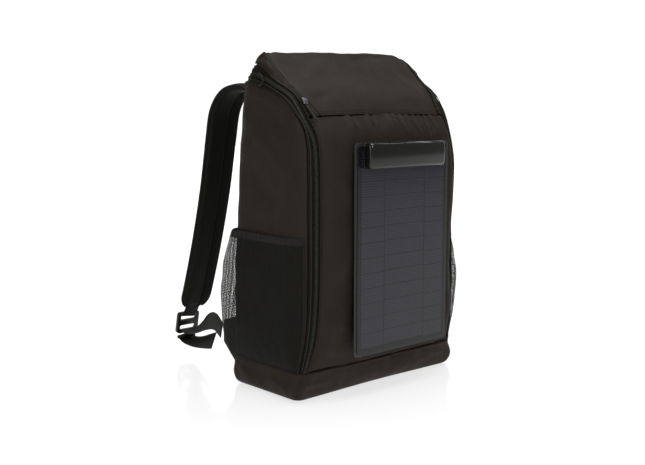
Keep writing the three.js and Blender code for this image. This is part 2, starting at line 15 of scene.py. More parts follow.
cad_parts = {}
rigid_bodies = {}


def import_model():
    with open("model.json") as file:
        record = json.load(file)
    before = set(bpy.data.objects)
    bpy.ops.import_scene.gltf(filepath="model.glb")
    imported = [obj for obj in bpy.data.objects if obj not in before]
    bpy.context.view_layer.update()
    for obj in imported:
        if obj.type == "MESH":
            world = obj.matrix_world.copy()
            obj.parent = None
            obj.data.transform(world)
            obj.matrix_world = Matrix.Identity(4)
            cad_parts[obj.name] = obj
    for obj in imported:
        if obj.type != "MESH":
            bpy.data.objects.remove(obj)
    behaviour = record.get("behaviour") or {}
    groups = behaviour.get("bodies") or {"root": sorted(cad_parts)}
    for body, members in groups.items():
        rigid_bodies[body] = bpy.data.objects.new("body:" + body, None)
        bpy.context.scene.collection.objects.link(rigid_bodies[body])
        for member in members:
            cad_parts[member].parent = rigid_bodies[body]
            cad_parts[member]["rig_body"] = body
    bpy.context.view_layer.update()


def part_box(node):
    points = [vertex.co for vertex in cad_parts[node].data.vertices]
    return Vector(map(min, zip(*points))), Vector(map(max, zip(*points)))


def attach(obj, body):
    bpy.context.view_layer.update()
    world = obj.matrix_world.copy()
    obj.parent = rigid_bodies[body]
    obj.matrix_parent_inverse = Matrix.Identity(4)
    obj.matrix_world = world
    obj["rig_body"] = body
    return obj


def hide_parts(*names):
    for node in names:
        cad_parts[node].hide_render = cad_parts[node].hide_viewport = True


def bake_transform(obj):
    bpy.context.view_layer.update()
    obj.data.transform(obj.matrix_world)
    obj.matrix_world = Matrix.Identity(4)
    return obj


MM = 0.001

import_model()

# ------------------------------------------------------------------ the bag's sections
# One row per station up the bag, in mm and degrees, as in the CAD source: the side rail's y and z, the
# face rail's y and z, the half widths of side and face, the main zip's rear edge, coil and front edge
# as angles on the front corner, and the radius of the rear corner.
STATIONS = np.array(
    [
        (-66, 41, -87, 41, 151, 129, 33, 50, 58, 10),
        (-60, 85, -99, 85, 152, 112, 38, 51, 58, 16),
        (-55, 140, -103, 140, 152, 104, 40, 52, 58, 20),
        (-53, 220, -104, 220, 152, 102, 40, 52, 58, 24),
        (-52, 288, -103, 290, 151, 102, 40, 52, 58, 28),
        (-58, 322, -95, 337, 149, 106, 40, 52, 60, 32),
        (-72, 347, -76, 364, 147, 117, 35, 47, 62, 36),
        (-56, 376, -54, 391, 144.5, 126, 2, 42, 66, 38),
        (-22, 393, -26, 412, 143, 129, 2, 28, 46, 38),
        (4, 399.5, 2, 438, 142, 128, 2, 20, 40, 38),
        (14, 402, 13, 447, 141.5, 123, 2, 19, 40, 38),
        (22, 403.5, 26, 445, 141, 117, 2, 19, 40, 38),
    ],
    float,
)
Section = namedtuple("Section", "side_y side_z face_y face_z side face zip_rear coil zip_front rear_radius")
LID = 6  # the station of the lid's front seam
LAST = len(STATIONS) - 1
LID_ZIP = (76.0, 87.0)  # where the lid zip lies on the corner
CREST_HOLLOW = 0.7  # how flat the rear corners of the crest are
CREST_DEPTH = 4  # how far the crest's top edge runs back from side to middle
CREST_START = 6  # where the rows round its rear corner start
BACK_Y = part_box("back_panel")[1].y / MM
BOOT_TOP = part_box("base_boot")[1].z / MM
PANEL_THICK = 2.6  # a lined fabric panel
GORE_THICK = 2.0
TAPE_THICK = 1.6
BAG_MIDDLE = np.array([0, -20, 210])
SIDES = (("left", False), ("right", True))  # each with whether it is the mirror image
STEPS = 9  # rows of mesh between two stations

# The bag has settled to one side, as in the CAD source: the front of its right flank is drawn in.
SETTLE_X = (70.0, 150.0)
SETTLE_Y = (-60.0, 50.0)
SETTLE_Z = (0, 20, 41, 110, 170, 213, 240, 300, 347, 376, 400, 460)
SETTLE_IN = (-3, 0, 15, 11, 12, 15, 11, 6, 12, 11, 3, 0)
CORNER_DROP = 6.0  # how far the top rear corners have sunk
DROP_X = (108, 130)
DROP_Y = (-5, 26)
DROP_Z = (410, 444)


def smoothstep(value, low, high):
    t = np.clip((value - low) / (high - low), 0, 1)
    return t * t * (3 - 2 * t)


def settled(points):
    """The same points with the front of the right flank drawn in and the top rear corners softened."""
    x, y, z = points[..., 0], points[..., 1], points[..., 2]
    inwards = sum(np.interp(z + k, SETTLE_Z, SETTLE_IN) for k in (-8, 0, 8)) / 3
    moved = points.copy()
    moved[..., 0] = x - smoothstep(x, *SETTLE_X) * (1 - smoothstep(y, *SETTLE_Y)) * inwards
    sunk = smoothstep(np.abs(x), *DROP_X) * smoothstep(y, *DROP_Y) * smoothstep(z, *DROP_Z)
    moved[..., 2] = z - CORNER_DROP * sunk
    return moved


def seated(grid, flip):
    """A left piece where it lies, or its mirror image on the settled right flank."""
    return settled(mirrored(grid)) if flip else grid


def curve_between(a, b, c, d, t):
    """A point between b and c on the Catmull-Rom curve through four points."""
    return (2 * b + (c - a) * t + (2 * a - 5 * b + 4 * c - d) * t**2 + (3 * b - a - 3 * c + d) * t**3) / 2


def station(at):
    """The section at a fractional station, on a smooth curve through the rows."""
    at = min(max(float(at), 0.0), LAST)
    i = min(int(at), LAST - 1)
    around = (STATIONS[min(max(i + k, 0), LAST)] for k in (-1, 0, 1, 2))
    return Section(*curve_between(*around, at - i))


def corner(at, angles, lift=0.0):
    """Points on the left front corner; 0 degrees is the side and 90 the face."""
    s = station(at)
    a = np.radians(np.asarray(angles, float))
    depth = math.hypot(s.face_y - s.side_y, s.face_z - s.side_z)
    share = (1 + lift / depth) * np.sin(a)
    x = s.face + (s.side - s.face + lift) * np.cos(a)
    y = s.side_y + (s.face_y - s.side_y) * share
    z = s.side_z + (s.face_z - s.side_z) * share
    return np.stack([-x, y, z], -1)


def rear(at, angles, lift=0.0):
    """Points on the left rear corner; 0 degrees is the side and 90 the back."""
    s = station(at)
    r = s.rear_radius
    a = np.radians(np.asarray(angles, float))
    x = s.side - r + (r + lift) * np.cos(a)
    y = BACK_Y - r + (r + lift) * np.sin(a)
    return np.stack([-x, y, np.full_like(x, s.side_z)], -1)


def face(at, shares, crown=2.0):
    """Points on the left half of the face; share 0 is the middle and 1 the corner."""
    s = station(at)
    t = np.asarray(shares, float)
    depth = math.hypot(s.face_y - s.side_y, s.face_z - s.side_z)
    lift = crown * (1 - t**2) / depth
    y = s.face_y + (s.face_y - s.side_y) * lift
    z = s.face_z + (s.face_z - s.side_z) * lift
    return np.stack([-s.face * t, y, z], -1)


def crest(around, ups, lift=0.0):
    """Points behind the last station; around is 0 at the side and 90 at the back, up is as a corner angle."""
    s = station(LAST)
    turn = around / 90
    low = rear(LAST, [around], lift)[0]
    high_x = -(s.face + (s.side - s.rear_radius - s.face) * turn)
    high_y = s.face_y + CREST_DEPTH * turn
    a = np.radians(np.asarray(ups, float))
    hollow = CREST_HOLLOW * math.sin(math.pi * turn)
    out = np.cos(a) * (1 - hollow) + (1 - np.sin(a)) * hollow
    x = high_x + (low[0] - high_x) * out
    y = high_y + (low[1] - high_y) * out
    z = s.side_z + (s.face_z - s.side_z + lift) * np.sin(a)
    return np.stack([x, y, z], -1)


def crest_rows(ups, turns, spans, lift=0.0):
    """Rows round the left rear corner of the crest, across the back and round the right one."""
    bend = [crest(a, ups, lift) for a in np.linspace(CREST_START, 90, turns)]
    end = bend[-1]
    across = [end * (1 - t) + mirrored(end) * t for t in np.linspace(0, 1, spans)[1:-1]]
    return bend + across + [mirrored(row) for row in reversed(bend)]


def mirrored(points):
    return points * np.array([-1, 1, 1])


def distances(points):
    """How far along a polyline each of its points is."""
    return np.concatenate([[0], np.cumsum(np.linalg.norm(np.diff(points, axis=0), axis=1))])


def resampled(points, count):
    """The same polyline with count points, evenly spaced."""
    lengths = distances(points)
    want = np.linspace(0, lengths[-1], count)
    return np.stack([np.interp(want, lengths, points[:, k]) for k in range(3)], -1)


def smooth_line(points, steps):
    """A smooth curve through points, with this many steps between two of them."""
    p = np.asarray(points, float)
    p = np.concatenate([[2 * p[0] - p[1]], p, [2 * p[-1] - p[-2]]])
    out = []
    for i in range(1, len(p) - 2):
        for t in np.linspace(0, 1, steps, endpoint=False):
            out.append(curve_between(*p[i - 1 : i + 3], t))
    out.append(p[-2])
    return np.array(out)


def rows_between(start, end):
    count = max(2, int(round((end - start) * STEPS)) + 1)
    return np.linspace(start, end, count)


def hoop(start, angles_at, cols, lift=0.0):
    """Points of a strip that runs up the left side, across the back and down the right side.
    angles_at gives the strip's two edge angles at a station. The rows run along the strip."""
    left = [corner(at, np.linspace(*angles_at(at), cols), lift) for at in rows_between(start, LAST)]
    top = crest_rows(np.linspace(*angles_at(LAST), cols), 12, 30, lift)
    return np.array(left + top + [mirrored(row) for row in reversed(left)])


# ------------------------------------------------------------------ meshes from grids of points
def unit(vectors):
    """The same vectors at length 1."""
    return vectors / (np.linalg.norm(vectors, axis=-1, keepdims=True) + 1e-12)


def normals_of(grid):
    """Unit normals of a grid of points, pointing away from the middle of the bag."""
    n = unit(np.cross(np.gradient(grid, axis=0), np.gradient(grid, axis=1)))
    away = grid.reshape(-1, 3).mean(0) - BAG_MIDDLE
    return n if (n.reshape(-1, 3).mean(0) @ away) >= 0 else -n


def lengths_of(grid):
    """How far each point is along its row and its column, in the grid's units."""
    u = np.zeros(grid.shape[:2])
    v = np.zeros(grid.shape[:2])
    u[:, 1:] = np.cumsum(np.linalg.norm(np.diff(grid, axis=1), axis=2), axis=1)
    v[1:, :] = np.cumsum(np.linalg.norm(np.diff(grid, axis=0), axis=2), axis=0)
    return u, v


def unrolled(grid):
    """UV coordinates in metres that follow the lengths of a grid's rows and columns."""
    u, v = lengths_of(grid)
    return np.stack([u.ravel(), v.ravel()], -1) * MM


def grid_faces(rows, cols, wrap_cols=False):
    """The quads of a grid of points, as indices; wrap_cols joins the last column to the first."""
    r, c = np.meshgrid(np.arange(rows - 1), np.arange(cols if wrap_cols else cols - 1), indexing="ij")
    following = (c + 1) % cols
    corners = [r * cols + c, r * cols + following, (r + 1) * cols + following, (r + 1) * cols + c]
    return np.stack(corners, -1).reshape(-1, 4)


def new_object(name, mesh, material=None):
    obj = bpy.data.objects.new(name, mesh)
    bpy.context.scene.collection.objects.link(obj)
    if material is not None:
        mesh.materials.append(material)
    return obj


def mesh_of(name, points_mm, faces):
    mesh = bpy.data.meshes.new(name)
    mesh.from_pydata((np.asarray(points_mm).reshape(-1, 3) * MM).tolist(), [], [list(f) for f in faces])
    mesh.shade_smooth()
    return mesh


def set_uv(mesh, uv_metres):
    layer = mesh.uv_layers.new(name="UVMap")
    index = np.zeros(len(mesh.loops), int)
    mesh.loops.foreach_get("vertex_index", index)
    layer.data.foreach_set("uv", uv_metres[index].astype(np.float32).ravel())


def face_outward(mesh):
    """Turns the mesh so that most of it faces away from the middle of the bag."""
    middle = Vector(BAG_MIDDLE * MM)
    if sum(f.area * f.normal.dot(f.center - middle) for f in mesh.polygons) < 0:
        mesh.flip_normals()


def outward_normals(mesh):
    """Turns every face of closed solids outwards."""
    bm = bmesh.new()
    bm.from_mesh(mesh)
    bmesh.ops.recalc_face_normals(bm, faces=bm.faces)
    bm.to_mesh(mesh)
    bm.free()


def thickened(obj, thick_mm):
    """Gives a sheet a real thickness behind its outer face."""
    solid = obj.modifiers.new("thickness", "SOLIDIFY")
    solid.thickness = thick_mm * MM
    solid.offset = -1
    return obj


def sheet(name, grid, material, thick_mm=0.0):
    """A piece of cloth through a grid of points."""
    mesh = mesh_of(name, grid, grid_faces(*grid.shape[:2]))
    set_uv(mesh, unrolled(grid))
    face_outward(mesh)
    obj = new_object(name, mesh, material)
    return thickened(obj, thick_mm) if thick_mm else obj


def solid_rings(name, rings, material):
    """A closed solid through closed rings of points, with flat caps."""
    rings = np.asarray(rings, float)
    count, around = rings.shape[:2]
    faces = [list(f) for f in grid_faces(count, around, wrap_cols=True)]
    faces.append(list(range(around))[::-1])
    faces.append([(count - 1) * around + k for k in range(around)])
    mesh = mesh_of(name, rings, faces)
    set_uv(mesh, unrolled(rings))
    outward_normals(mesh)
    return new_object(name, mesh, material)


def cord_frame(points):
    """The direction along a line at each of its points, and two directions across it."""
    along = unit(np.gradient(points, axis=0))
    side = unit(np.cross(along, [0.31, 0.17, 0.93]))
    return along, side, np.cross(side, along)


def tube(name, points_mm, radius_mm, material, sides=8):
    """A round cord through points, as a mesh."""
    points = np.asarray(points_mm, float)
    _, side, up = cord_frame(points)
    a = np.linspace(0, 2 * math.pi, sides, endpoint=False)[None, :, None]
    rings = points[:, None] + radius_mm * (np.cos(a) * side[:, None] + np.sin(a) * up[:, None])
    return solid_rings(name, rings, material)


def baked(obj):
    """The same object with its modifiers applied."""
    evaluated = obj.evaluated_get(bpy.context.evaluated_depsgraph_get())
    mesh = bpy.data.meshes.new_from_object(evaluated)
    obj.modifiers.clear()
    obj.data = mesh
    return obj


def solid_box(name, low, high):
    """A plain box between two corners."""
    verts = [(x, y, z) for x in (low[0], high[0]) for y in (low[1], high[1]) for z in (low[2], high[2])]
    faces = [(0, 1, 3, 2), (4, 6, 7, 5), (0, 4, 5, 1), (2, 3, 7, 6), (0, 2, 6, 4), (1, 5, 7, 3)]
    mesh = mesh_of(name, verts, faces)
    mesh.shade_flat()
    set_uv(mesh, np.array(verts)[:, [0, 2]] * MM)
    return new_object(name, mesh)


def joined(name, objects):
    """One object from several, keeping their materials."""
    bm = bmesh.new()
    materials = []
    for obj in objects:
        start = len(bm.faces)
        bm.from_mesh(obj.data)
        bm.faces.ensure_lookup_table()
        slots = []
        for m in obj.data.materials:
            if m not in materials:
                materials.append(m)
            slots.append(materials.index(m))
        for f in bm.faces[start:]:
            f.material_index = slots[f.material_index] if slots else 0
    mesh = bpy.data.meshes.new(name)
    bm.to_mesh(mesh)
    bm.free()
    for m in materials:
        mesh.materials.append(m)
    for obj in objects:
        bpy.data.objects.remove(obj)
    return new_object(name, mesh)


def rounded(obj, width_mm, segments=3):
    """Rounds the sharp edges of a hard piece."""
    bevel = obj.modifiers.new("rounded", "BEVEL")
    bevel.width = width_mm * MM
    bevel.segments = segments
    bevel.limit_method = "ANGLE"
    bevel.angle_limit = math.radians(35)
    bevel.harden_normals = True
    return obj


def copy_of(node, material, width_mm=0.0, segments=3):
    """A hard CAD node with its flat faces whole again and its edges rounded. It stands for the node."""
    source = bpy.data.objects[node]
    bm = bmesh.new()
    bm.from_mesh(source.data)
    bmesh.ops.remove_doubles(bm, verts=bm.verts, dist=1e-6)
    bmesh.ops.dissolve_limit(bm, angle_limit=math.radians(2), verts=bm.verts, edges=bm.edges)
    mesh = bpy.data.meshes.new(node)
    bm.to_mesh(mesh)
    bm.free()
    mesh.shade_smooth()
    obj = new_object(f"{node}_shown", mesh, material)
    if width_mm:
        rounded(obj, width_mm, segments)
    else:
        mesh.shade_flat()
    body = source["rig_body"]
    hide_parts(node)
    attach(obj, body)
    return obj


# ------------------------------------------------------------------ wrinkles
def fold(grid, start, end, width, height):
    """A straight soft fold from start to end, fading towards its ends."""
    a = np.array(start, float)
    d = np.array(end, float) - a
    length = np.linalg.norm(d)
    t = np.clip(((grid - a) @ d) / length**2, 0, 1)
    gap = np.linalg.norm(grid - (a + t[..., None] * d), axis=-1)
    return height * np.exp(-((gap / width) ** 2)) * np.sin(np.pi * np.clip(t, 0.03, 0.97)) ** 0.6


def folds(grid, rows):
    """Several folds together; a row has a fold's start, end, width and height."""
    return sum(fold(grid, *row) for row in rows)


def rumple(grid, size, height, seed=0.0):
    """Soft uneven cloth: smooth noise with swellings about size across."""
    shift = Vector((seed, seed * 0.7, -seed * 0.3))
    values = [noise.noise(Vector(p) + shift) for p in grid.reshape(-1, 3) / size]
    return height * np.array(values).reshape(grid.shape[:2])


def pillow(grid, depth, reach):
    """Cloth sinks towards its seams: by depth at the border, fading over reach."""
    u, v = lengths_of(grid)
    edge = np.minimum(np.minimum(u, u[:, -1:] - u), np.minimum(v, v[-1:, :] - v))
    return -depth * np.exp(-edge / reach)


def inner(grid, reach):
    """0 along the border of a grid, rising to 1 over about reach."""
    return 1 + pillow(grid, 1, reach)


def pushed(grid, amount):
    return grid + normals_of(grid) * amount[..., None]


# ------------------------------------------------------------------ materials
def srgb(hexcode, gain=1.0):
    value = [int(hexcode[i : i + 2], 16) / 255 for i in (0, 2, 4)]
    linear = [v / 12.92 if v <= 0.04045 else ((v + 0.055) / 1.055) ** 2.4 for v in value]
    return (*[v * gain for v in linear], 1.0)


class Nodes:
    """A short way to build a material's node tree."""

    def __init__(self, name, colour, roughness, metallic=0.0, specular=0.5):
        self.material = bpy.data.materials.new(name)
        self.material.use_nodes = True
        self.tree = self.material.node_tree
        self.shader = self.tree.nodes["Principled BSDF"]
        self.base = srgb(colour)
        self.shader.inputs["Base Color"].default_value = self.base
        self.shader.inputs["Roughness"].default_value = roughness
        self.shader.inputs["Metallic"].default_value = metallic
        self.shader.inputs["Specular IOR Level"].default_value = specular
        uv = self.add("ShaderNodeUVMap")
        self.split = self.add("ShaderNodeSeparateXYZ")
        self.link(uv.outputs["UV"], self.split.inputs[0])
        self.spot = self.add("ShaderNodeTexCoord").outputs["Object"]
        self.normal = None

    def add(self, kind, **settings):
        node = self.tree.nodes.new(kind)
        for key, value in settings.items():
            setattr(node, key, value)
        return node

    def link(self, a, b):
        self.tree.links.new(a, b)

    def math(self, operation, *values):
        node = self.add("ShaderNodeMath", operation=operation)
        for socket, value in zip(node.inputs, values):
            if isinstance(value, (int, float)):
                socket.default_value = value
            else:
                self.link(value, socket)
        return node.outputs[0]

    def wave(self, axis, pitch_mm, shift=None):
        """A sine along one UV axis with the given pitch, from 0 to 1."""
        turns = self.math("MULTIPLY", self.split.outputs[axis], 2 * math.pi / (pitch_mm * MM))
        if shift is not None:
            turns = self.math("ADD", turns, shift)
        return self.math("MULTIPLY_ADD", self.math("SINE", turns), 0.5, 0.5)

    def noise(self, scale, detail=2.0):
        node = self.add("ShaderNodeTexNoise")
        node.inputs["Scale"].default_value = scale
        node.inputs["Detail"].default_value = detail
        self.link(self.spot, node.inputs["Vector"])
        return node.outputs["Fac"]

    def bump(self, height, depth_mm):
        """Raises the surface; a second bump adds to the first."""
        node = self.add("ShaderNodeBump")
        node.inputs["Distance"].default_value = depth_mm * MM
        self.link(height, node.inputs["Height"])
        if self.normal is not None:
            self.link(self.normal, node.inputs["Normal"])
        self.normal = node.outputs["Normal"]
        self.link(self.normal, self.shader.inputs["Normal"])

    def tint(self, factor, low, high):
        """The base colour runs from low to high times itself with the factor."""
        node = self.add("ShaderNodeMix", data_type="RGBA")
        self.link(factor, node.inputs[0])
        for socket, gain in ((node.inputs[6], low), (node.inputs[7], high)):
            socket.default_value = (*[c * gain for c in self.base[:3]], 1)
        self.link(node.outputs[2], self.shader.inputs["Base Color"])

    def uneven_roughness(self, factor, low, high):
        node = self.add("ShaderNodeMapRange")
        node.inputs["To Min"].default_value = low
        node.inputs["To Max"].default_value = high
        self.link(factor, node.inputs["Value"])
        self.link(node.outputs[0], self.shader.inputs["Roughness"])


def woven(name, colour, pitch_mm=0.8, depth_mm=0.05, roughness=0.62, mottle=0.22, specular=0.14):
    """A plain weave: two crossing sines, with an uneven colour and soft creases."""
    n = Nodes(name, colour, roughness, specular=specular)
    n.bump(n.noise(140, 3), 0.5)
    n.bump(n.math("MULTIPLY", n.wave("X", pitch_mm), n.wave("Y", pitch_mm)), depth_mm)
    n.tint(n.noise(45, 4), 1 - mottle, 1 + mottle)
    n.uneven_roughness(n.noise(25, 2), roughness - 0.12, roughness + 0.12)
    return n.material


def ribbed(name, colour, pitch_mm, depth_mm, roughness=0.6, axis="Y", specular=0.2):
    """Webbing, elastic or zip tape: close ribs across its length and a finer weave along them, with painted
    light on the rib crests and painted shade in the grooves.
    """
    n = Nodes(name, colour, roughness, specular=specular)
    ribs = n.wave(axis, pitch_mm)
    fine = n.wave("X" if axis == "Y" else "Y", pitch_mm * 0.6)
    n.bump(n.math("MULTIPLY_ADD", fine, 0.4, ribs), depth_mm)
    # Painted light and shade: the colour is lighter on the rib crests and darker in the grooves between them.
    n.tint(ribs, 0.6, 1.4)
    n.uneven_roughness(n.noise(60, 2), roughness - 0.1, roughness + 0.1)
    return n.material


def spacer(name, colour, pitch_mm, depth_mm):
    """Thick knitted padding: open cells in staggered rows, with painted shade down in the cells and painted
    light on the ridges between them.
    """
    n = Nodes(name, colour, 0.8, specular=0.15)
    shift = n.math("MULTIPLY", n.wave("Y", 2 * pitch_mm), math.pi)
    cells = n.math("MULTIPLY", n.wave("X", pitch_mm, shift), n.wave("Y", pitch_mm))
    n.bump(cells, -depth_mm)
    # Painted shade: the colour is darker down in the cells and lighter on the raised ridges.
    n.tint(cells, 1.5, 0.35)
    return n.material


def hard(name, colour, roughness, metallic=0.0, specular=0.5, grain_mm=0.02):
    """Moulded plastic or metal: a fine grain and faint handling marks."""
    n = Nodes(name, colour, roughness, metallic, specular)
    n.bump(n.noise(2600, 2), grain_mm)
    n.tint(n.noise(70, 3), 0.85, 1.15)
    n.uneven_roughness(n.noise(130, 4), roughness * 0.8, roughness * 1.25)
    return n.material


def netting(name, colour, pitch_mm, open_share):
    """Pocket mesh: round holes in staggered rows, open between the threads."""
    n = Nodes(name, colour, 0.75, specular=0.2)
    shift = n.math("MULTIPLY", n.wave("Y", 2 * pitch_mm), math.pi)
    field = n.math("MULTIPLY", n.wave("X", pitch_mm, shift), n.wave("Y", pitch_mm))
    hole = n.math("GREATER_THAN", field, 1 - open_share)
    n.link(n.math("SUBTRACT", 1.0, hole), n.shader.inputs["Alpha"])
    n.tint(n.noise(60, 3), 0.75, 1.3)
    n.bump(field, -0.15)
    return n.material


def cell_glass(name, colour, finger_mm):
    """A solar cell under clear film: fine silver fingers across it and a faint unevenness."""
    n = Nodes(name, colour, 0.16, specular=0.42)
    fingers = n.math("POWER", n.wave("Y", finger_mm), 6.0)
    n.tint(fingers, 1.0, 2.6)
    n.bump(n.noise(30, 2), 0.12)
    n.uneven_roughness(n.noise(90, 3), 0.12, 0.22)
    return n.material


FABRIC_BODY = woven("body_fabric", "201a13")
# A lighter copy of the body fabric for the lid, its piping, the zip's end loop and the welts: painted light
# for the top of the bag, which faces the lights.
FABRIC_LID_PAINTED_LIT = woven("lid_fabric_painted_lit", "25201b", roughness=0.58)
FABRIC_GUSSET = woven("gusset_fabric", "13130c", pitch_mm=0.7, specular=0.1)
LINING = woven("lining_fabric", "3b3c3e", 0.7, 0.04, 0.8)
ZIP_TAPE = ribbed("zip_tape", "0f0f09", 1.5, 0.3, specular=0.08)
WEBBING = ribbed("webbing", "13140f", 1.6, 0.35)
ELASTIC = ribbed("elastic", "15140f", 1.2, 0.25, axis="X")
SPACER = spacer("spacer_mesh", "0f100b", 4.2, 0.7)
STRAP_CLOTH = woven("strap_cloth", "0c0d08", 0.9, 0.06, 0.6)
NET = netting("pocket_net", "0a0b06", 2.2, 0.72)
COIL = hard("zip_coil", "1c1c15", 0.45, specular=0.2)
PLASTIC = hard("buckle_plastic", "10110d", 0.35, specular=0.4)
CASE = hard("controller_plastic", "0d0d0a", 0.16, specular=0.5, grain_mm=0.004)
STEEL = hard("brushed_metal", "77777a", 0.32, metallic=1.0)
BOARD = hard("panel_border", "1f201f", 0.45, specular=0.4)
CIRCUIT = hard("circuit_board", "1d4a2c", 0.5)
CELL = cell_glass("cell", "15151c", 3.2)
CELL_LINE = hard("cell_line", "0d0d11", 0.24, specular=0.36)
THREAD = hard("thread", "231f1a", 0.6, specular=0.2, grain_mm=0.1)

# ------------------------------------------------------------------ the fabric shell
BACK, FRONT, HOOD = "back_shell", "front_shell", "lid"


def zip_rear(at):
    return station(at).zip_rear


def coil_angle(at):
    return station(at).coil


def zip_front(at):
    return station(at).zip_front


def place(obj, body, slot, *nodes):
    """Gives a piece its body and hides the CAD nodes that it stands for. The slot is not used."""
    if nodes:
        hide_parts(*nodes)
    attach(obj, body)
    return obj


STITCH_PITCH = 3.4
STITCH_LENGTH = 2.3
STITCH_RADIUS = 0.32
STITCH_RINGS = ((-0.5, 0.35), (-0.25, 1.0), (0.25, 1.0), (0.5, 0.35))  # shares of its length and radius
STITCH_SIDES = 5


def stitches(name, line):
    """A row of thread stitches along a line of points, each a small spindle."""
    centre = resampled(line, max(int(distances(line)[-1] / STITCH_PITCH), 3))[1:-1]
    around = np.linspace(0, 2 * math.pi, STITCH_SIDES, endpoint=False)
    spindle = [list(f) for f in grid_faces(len(STITCH_RINGS), STITCH_SIDES, wrap_cols=True)]
    count = len(STITCH_RINGS) * STITCH_SIDES
    spindle.append(list(range(STITCH_SIDES))[::-1])
    spindle.append(list(range(count - STITCH_SIDES, count)))
    verts = []
    faces = []
    for p, along, side, up in zip(centre, *cord_frame(centre)):
        faces += [[len(verts) + k for k in f] for f in spindle]
        for share, size in STITCH_RINGS:
            for a in around:
                across = side * math.cos(a) + up * math.sin(a)
                verts.append(p + along * share * STITCH_LENGTH + STITCH_RADIUS * size * across)
    mesh = mesh_of(name, verts, faces)
    set_uv(mesh, np.array(verts)[:, :2] * MM)
    outward_normals(mesh)
    return new_object(name, mesh, THREAD)


def side_panel_rows():
    rows = []
    for at in rows_between(0, LAST):
        s = station(at)
        front = corner(at, np.linspace(s.zip_rear - 0.6, 0, 14))
        ys = np.linspace(s.side_y, BACK_Y - s.rear_radius, 20)
        flat = np.stack([np.full(20, -s.side), ys, np.full(20, s.side_z)], -1)
        back = rear(at, np.linspace(0, 88, 14))
        rows.append(resampled(np.concatenate([front, flat[1:-1], back]), 90))
    return np.array(rows)


# Soft folds: start, end, width and height.
SIDE_FOLDS = (
    ((-152, -52, 240), (-150, 30, 300), 16, -1.8),
    ((-150, 10, 345), (-148, -50, 300), 9, 1.8),
    ((-149, -60, 330), (-147, -10, 385), 8, -1.5),
    ((-146, 20, 396), (-146, -40, 372), 6, 1.6),
    ((-145, 45, 380), (-147, 0, 330), 9, 1.5),
    ((-152, -45, 225), (-151, 40, 232), 7, -1.6),
)


def build_side_panels():
    for name, flip in SIDES:
        grid = side_panel_rows()
        bulge = rumple(grid, 70, 3.0, 3.1 if flip else 1.2) + rumple(grid, 26, 1.1, 5.0)
        grid = pushed(grid, bulge + pillow(grid, 2.2, 5) + folds(grid, SIDE_FOLDS))
        obj = sheet(f"{name}_side", seated(grid, flip), FABRIC_BODY, PANEL_THICK)
        place(obj, BACK, "fabric", f"{name}_side_panel")


def whole_row(half):
    """A row across the bag from its left half, which ends in the middle."""
    return np.concatenate([half, mirrored(half[::-1])[1:]])


def front_rows():
    rows = []
    for at in np.linspace(0, LID - 0.02, 100):
        wrap = corner(at, np.linspace(zip_front(at) + 0.8, 90, 14))
        flat = face(at, np.linspace(1, 0, 30))
        rows.append(whole_row(resampled(np.concatenate([wrap, flat[1:]]), 120)))
    return np.array(rows)


# Pleats under the lid seam: where each starts along x, how far it leans and how long it is.
PLEATS = (
    (-66, 2, 18), (-30, -2, 14), (4, 3, 26), (17, 6, 40), (31, 3, 28), (44, 7, 42), (57, 4, 30),
    (69, -4, 38), (82, -8, 34), (95, -9, 26),
)
FRONT_FOLDS = (
    ((20, -99, 50), (125, -99, 58), 5, 2.2),
    ((40, -100, 66), (120, -100, 62), 5, -1.6),
    ((-125, -98, 70), (-60, -102, 48), 6, 1.8),
    ((-118, -104, 300), (-74, -104, 250), 8, 2.0),
    ((-108, -98, 340), (-64, -104, 300), 7, 1.8),
    ((-112, -100, 200), (-86, -104, 150), 9, 1.4),
    ((-120, -98, 110), (-86, -102, 90), 8, 1.6),
)


def face_fold(grid, start, end, width, height):
    """A fold on the front panel between two points given by x and z."""
    depth = [float(np.interp(z, STATIONS[:, 3], STATIONS[:, 2])) - 1.5 for _, z in (start, end)]
    return fold(grid, (start[0], depth[0], start[1]), (end[0], depth[1], end[1]), width, height)


def build_front():
    grid = front_rows()
    bulge = rumple(grid, 60, 2.4, 8.4) + rumple(grid, 22, 0.9, 2.0) + pillow(grid, 1.6, 4)
    for x, lean, drop in PLEATS:
        bulge = bulge + face_fold(grid, (x, 368), (x + lean, 364 - drop), 3.4, 3.6)
        bulge = bulge + face_fold(grid, (x + 6, 368), (x + 6 + lean, 364 - 0.8 * drop), 3.0, -2.8)
    grid = settled(pushed(grid, bulge + folds(grid, FRONT_FOLDS)))
    seam = face(LID - 0.1, np.linspace(0.98, 0, 40), crown=3.0) + np.array([0, -0.4, 0])
    seams = stitches("front_seam_thread", settled(whole_row(seam)))
    obj = joined("front_cloth", [baked(sheet("front_cloth_sheet", grid, FABRIC_BODY, PANEL_THICK)), seams])
    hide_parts("front_panel")
    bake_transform(obj)


def lid_rows():
    ats = np.linspace(LID + 0.02, LAST, 70)
    return np.array([whole_row(resampled(face(at, np.linspace(1, 0, 40)), 70)) for at in ats])


LID_FOLDS = (
    ((-100, -34, 408), (-30, 4, 441), 10, 1.8),
    ((92, -44, 400), (50, 8, 445), 10, 1.8),
    ((-112, -60, 382), (-60, -50, 392), 7, -1.5),
    ((-20, -66, 374), (90, -56, 386), 9, 1.4),
    ((10, 0, 438), (100, 12, 446), 7, -1.3),
)


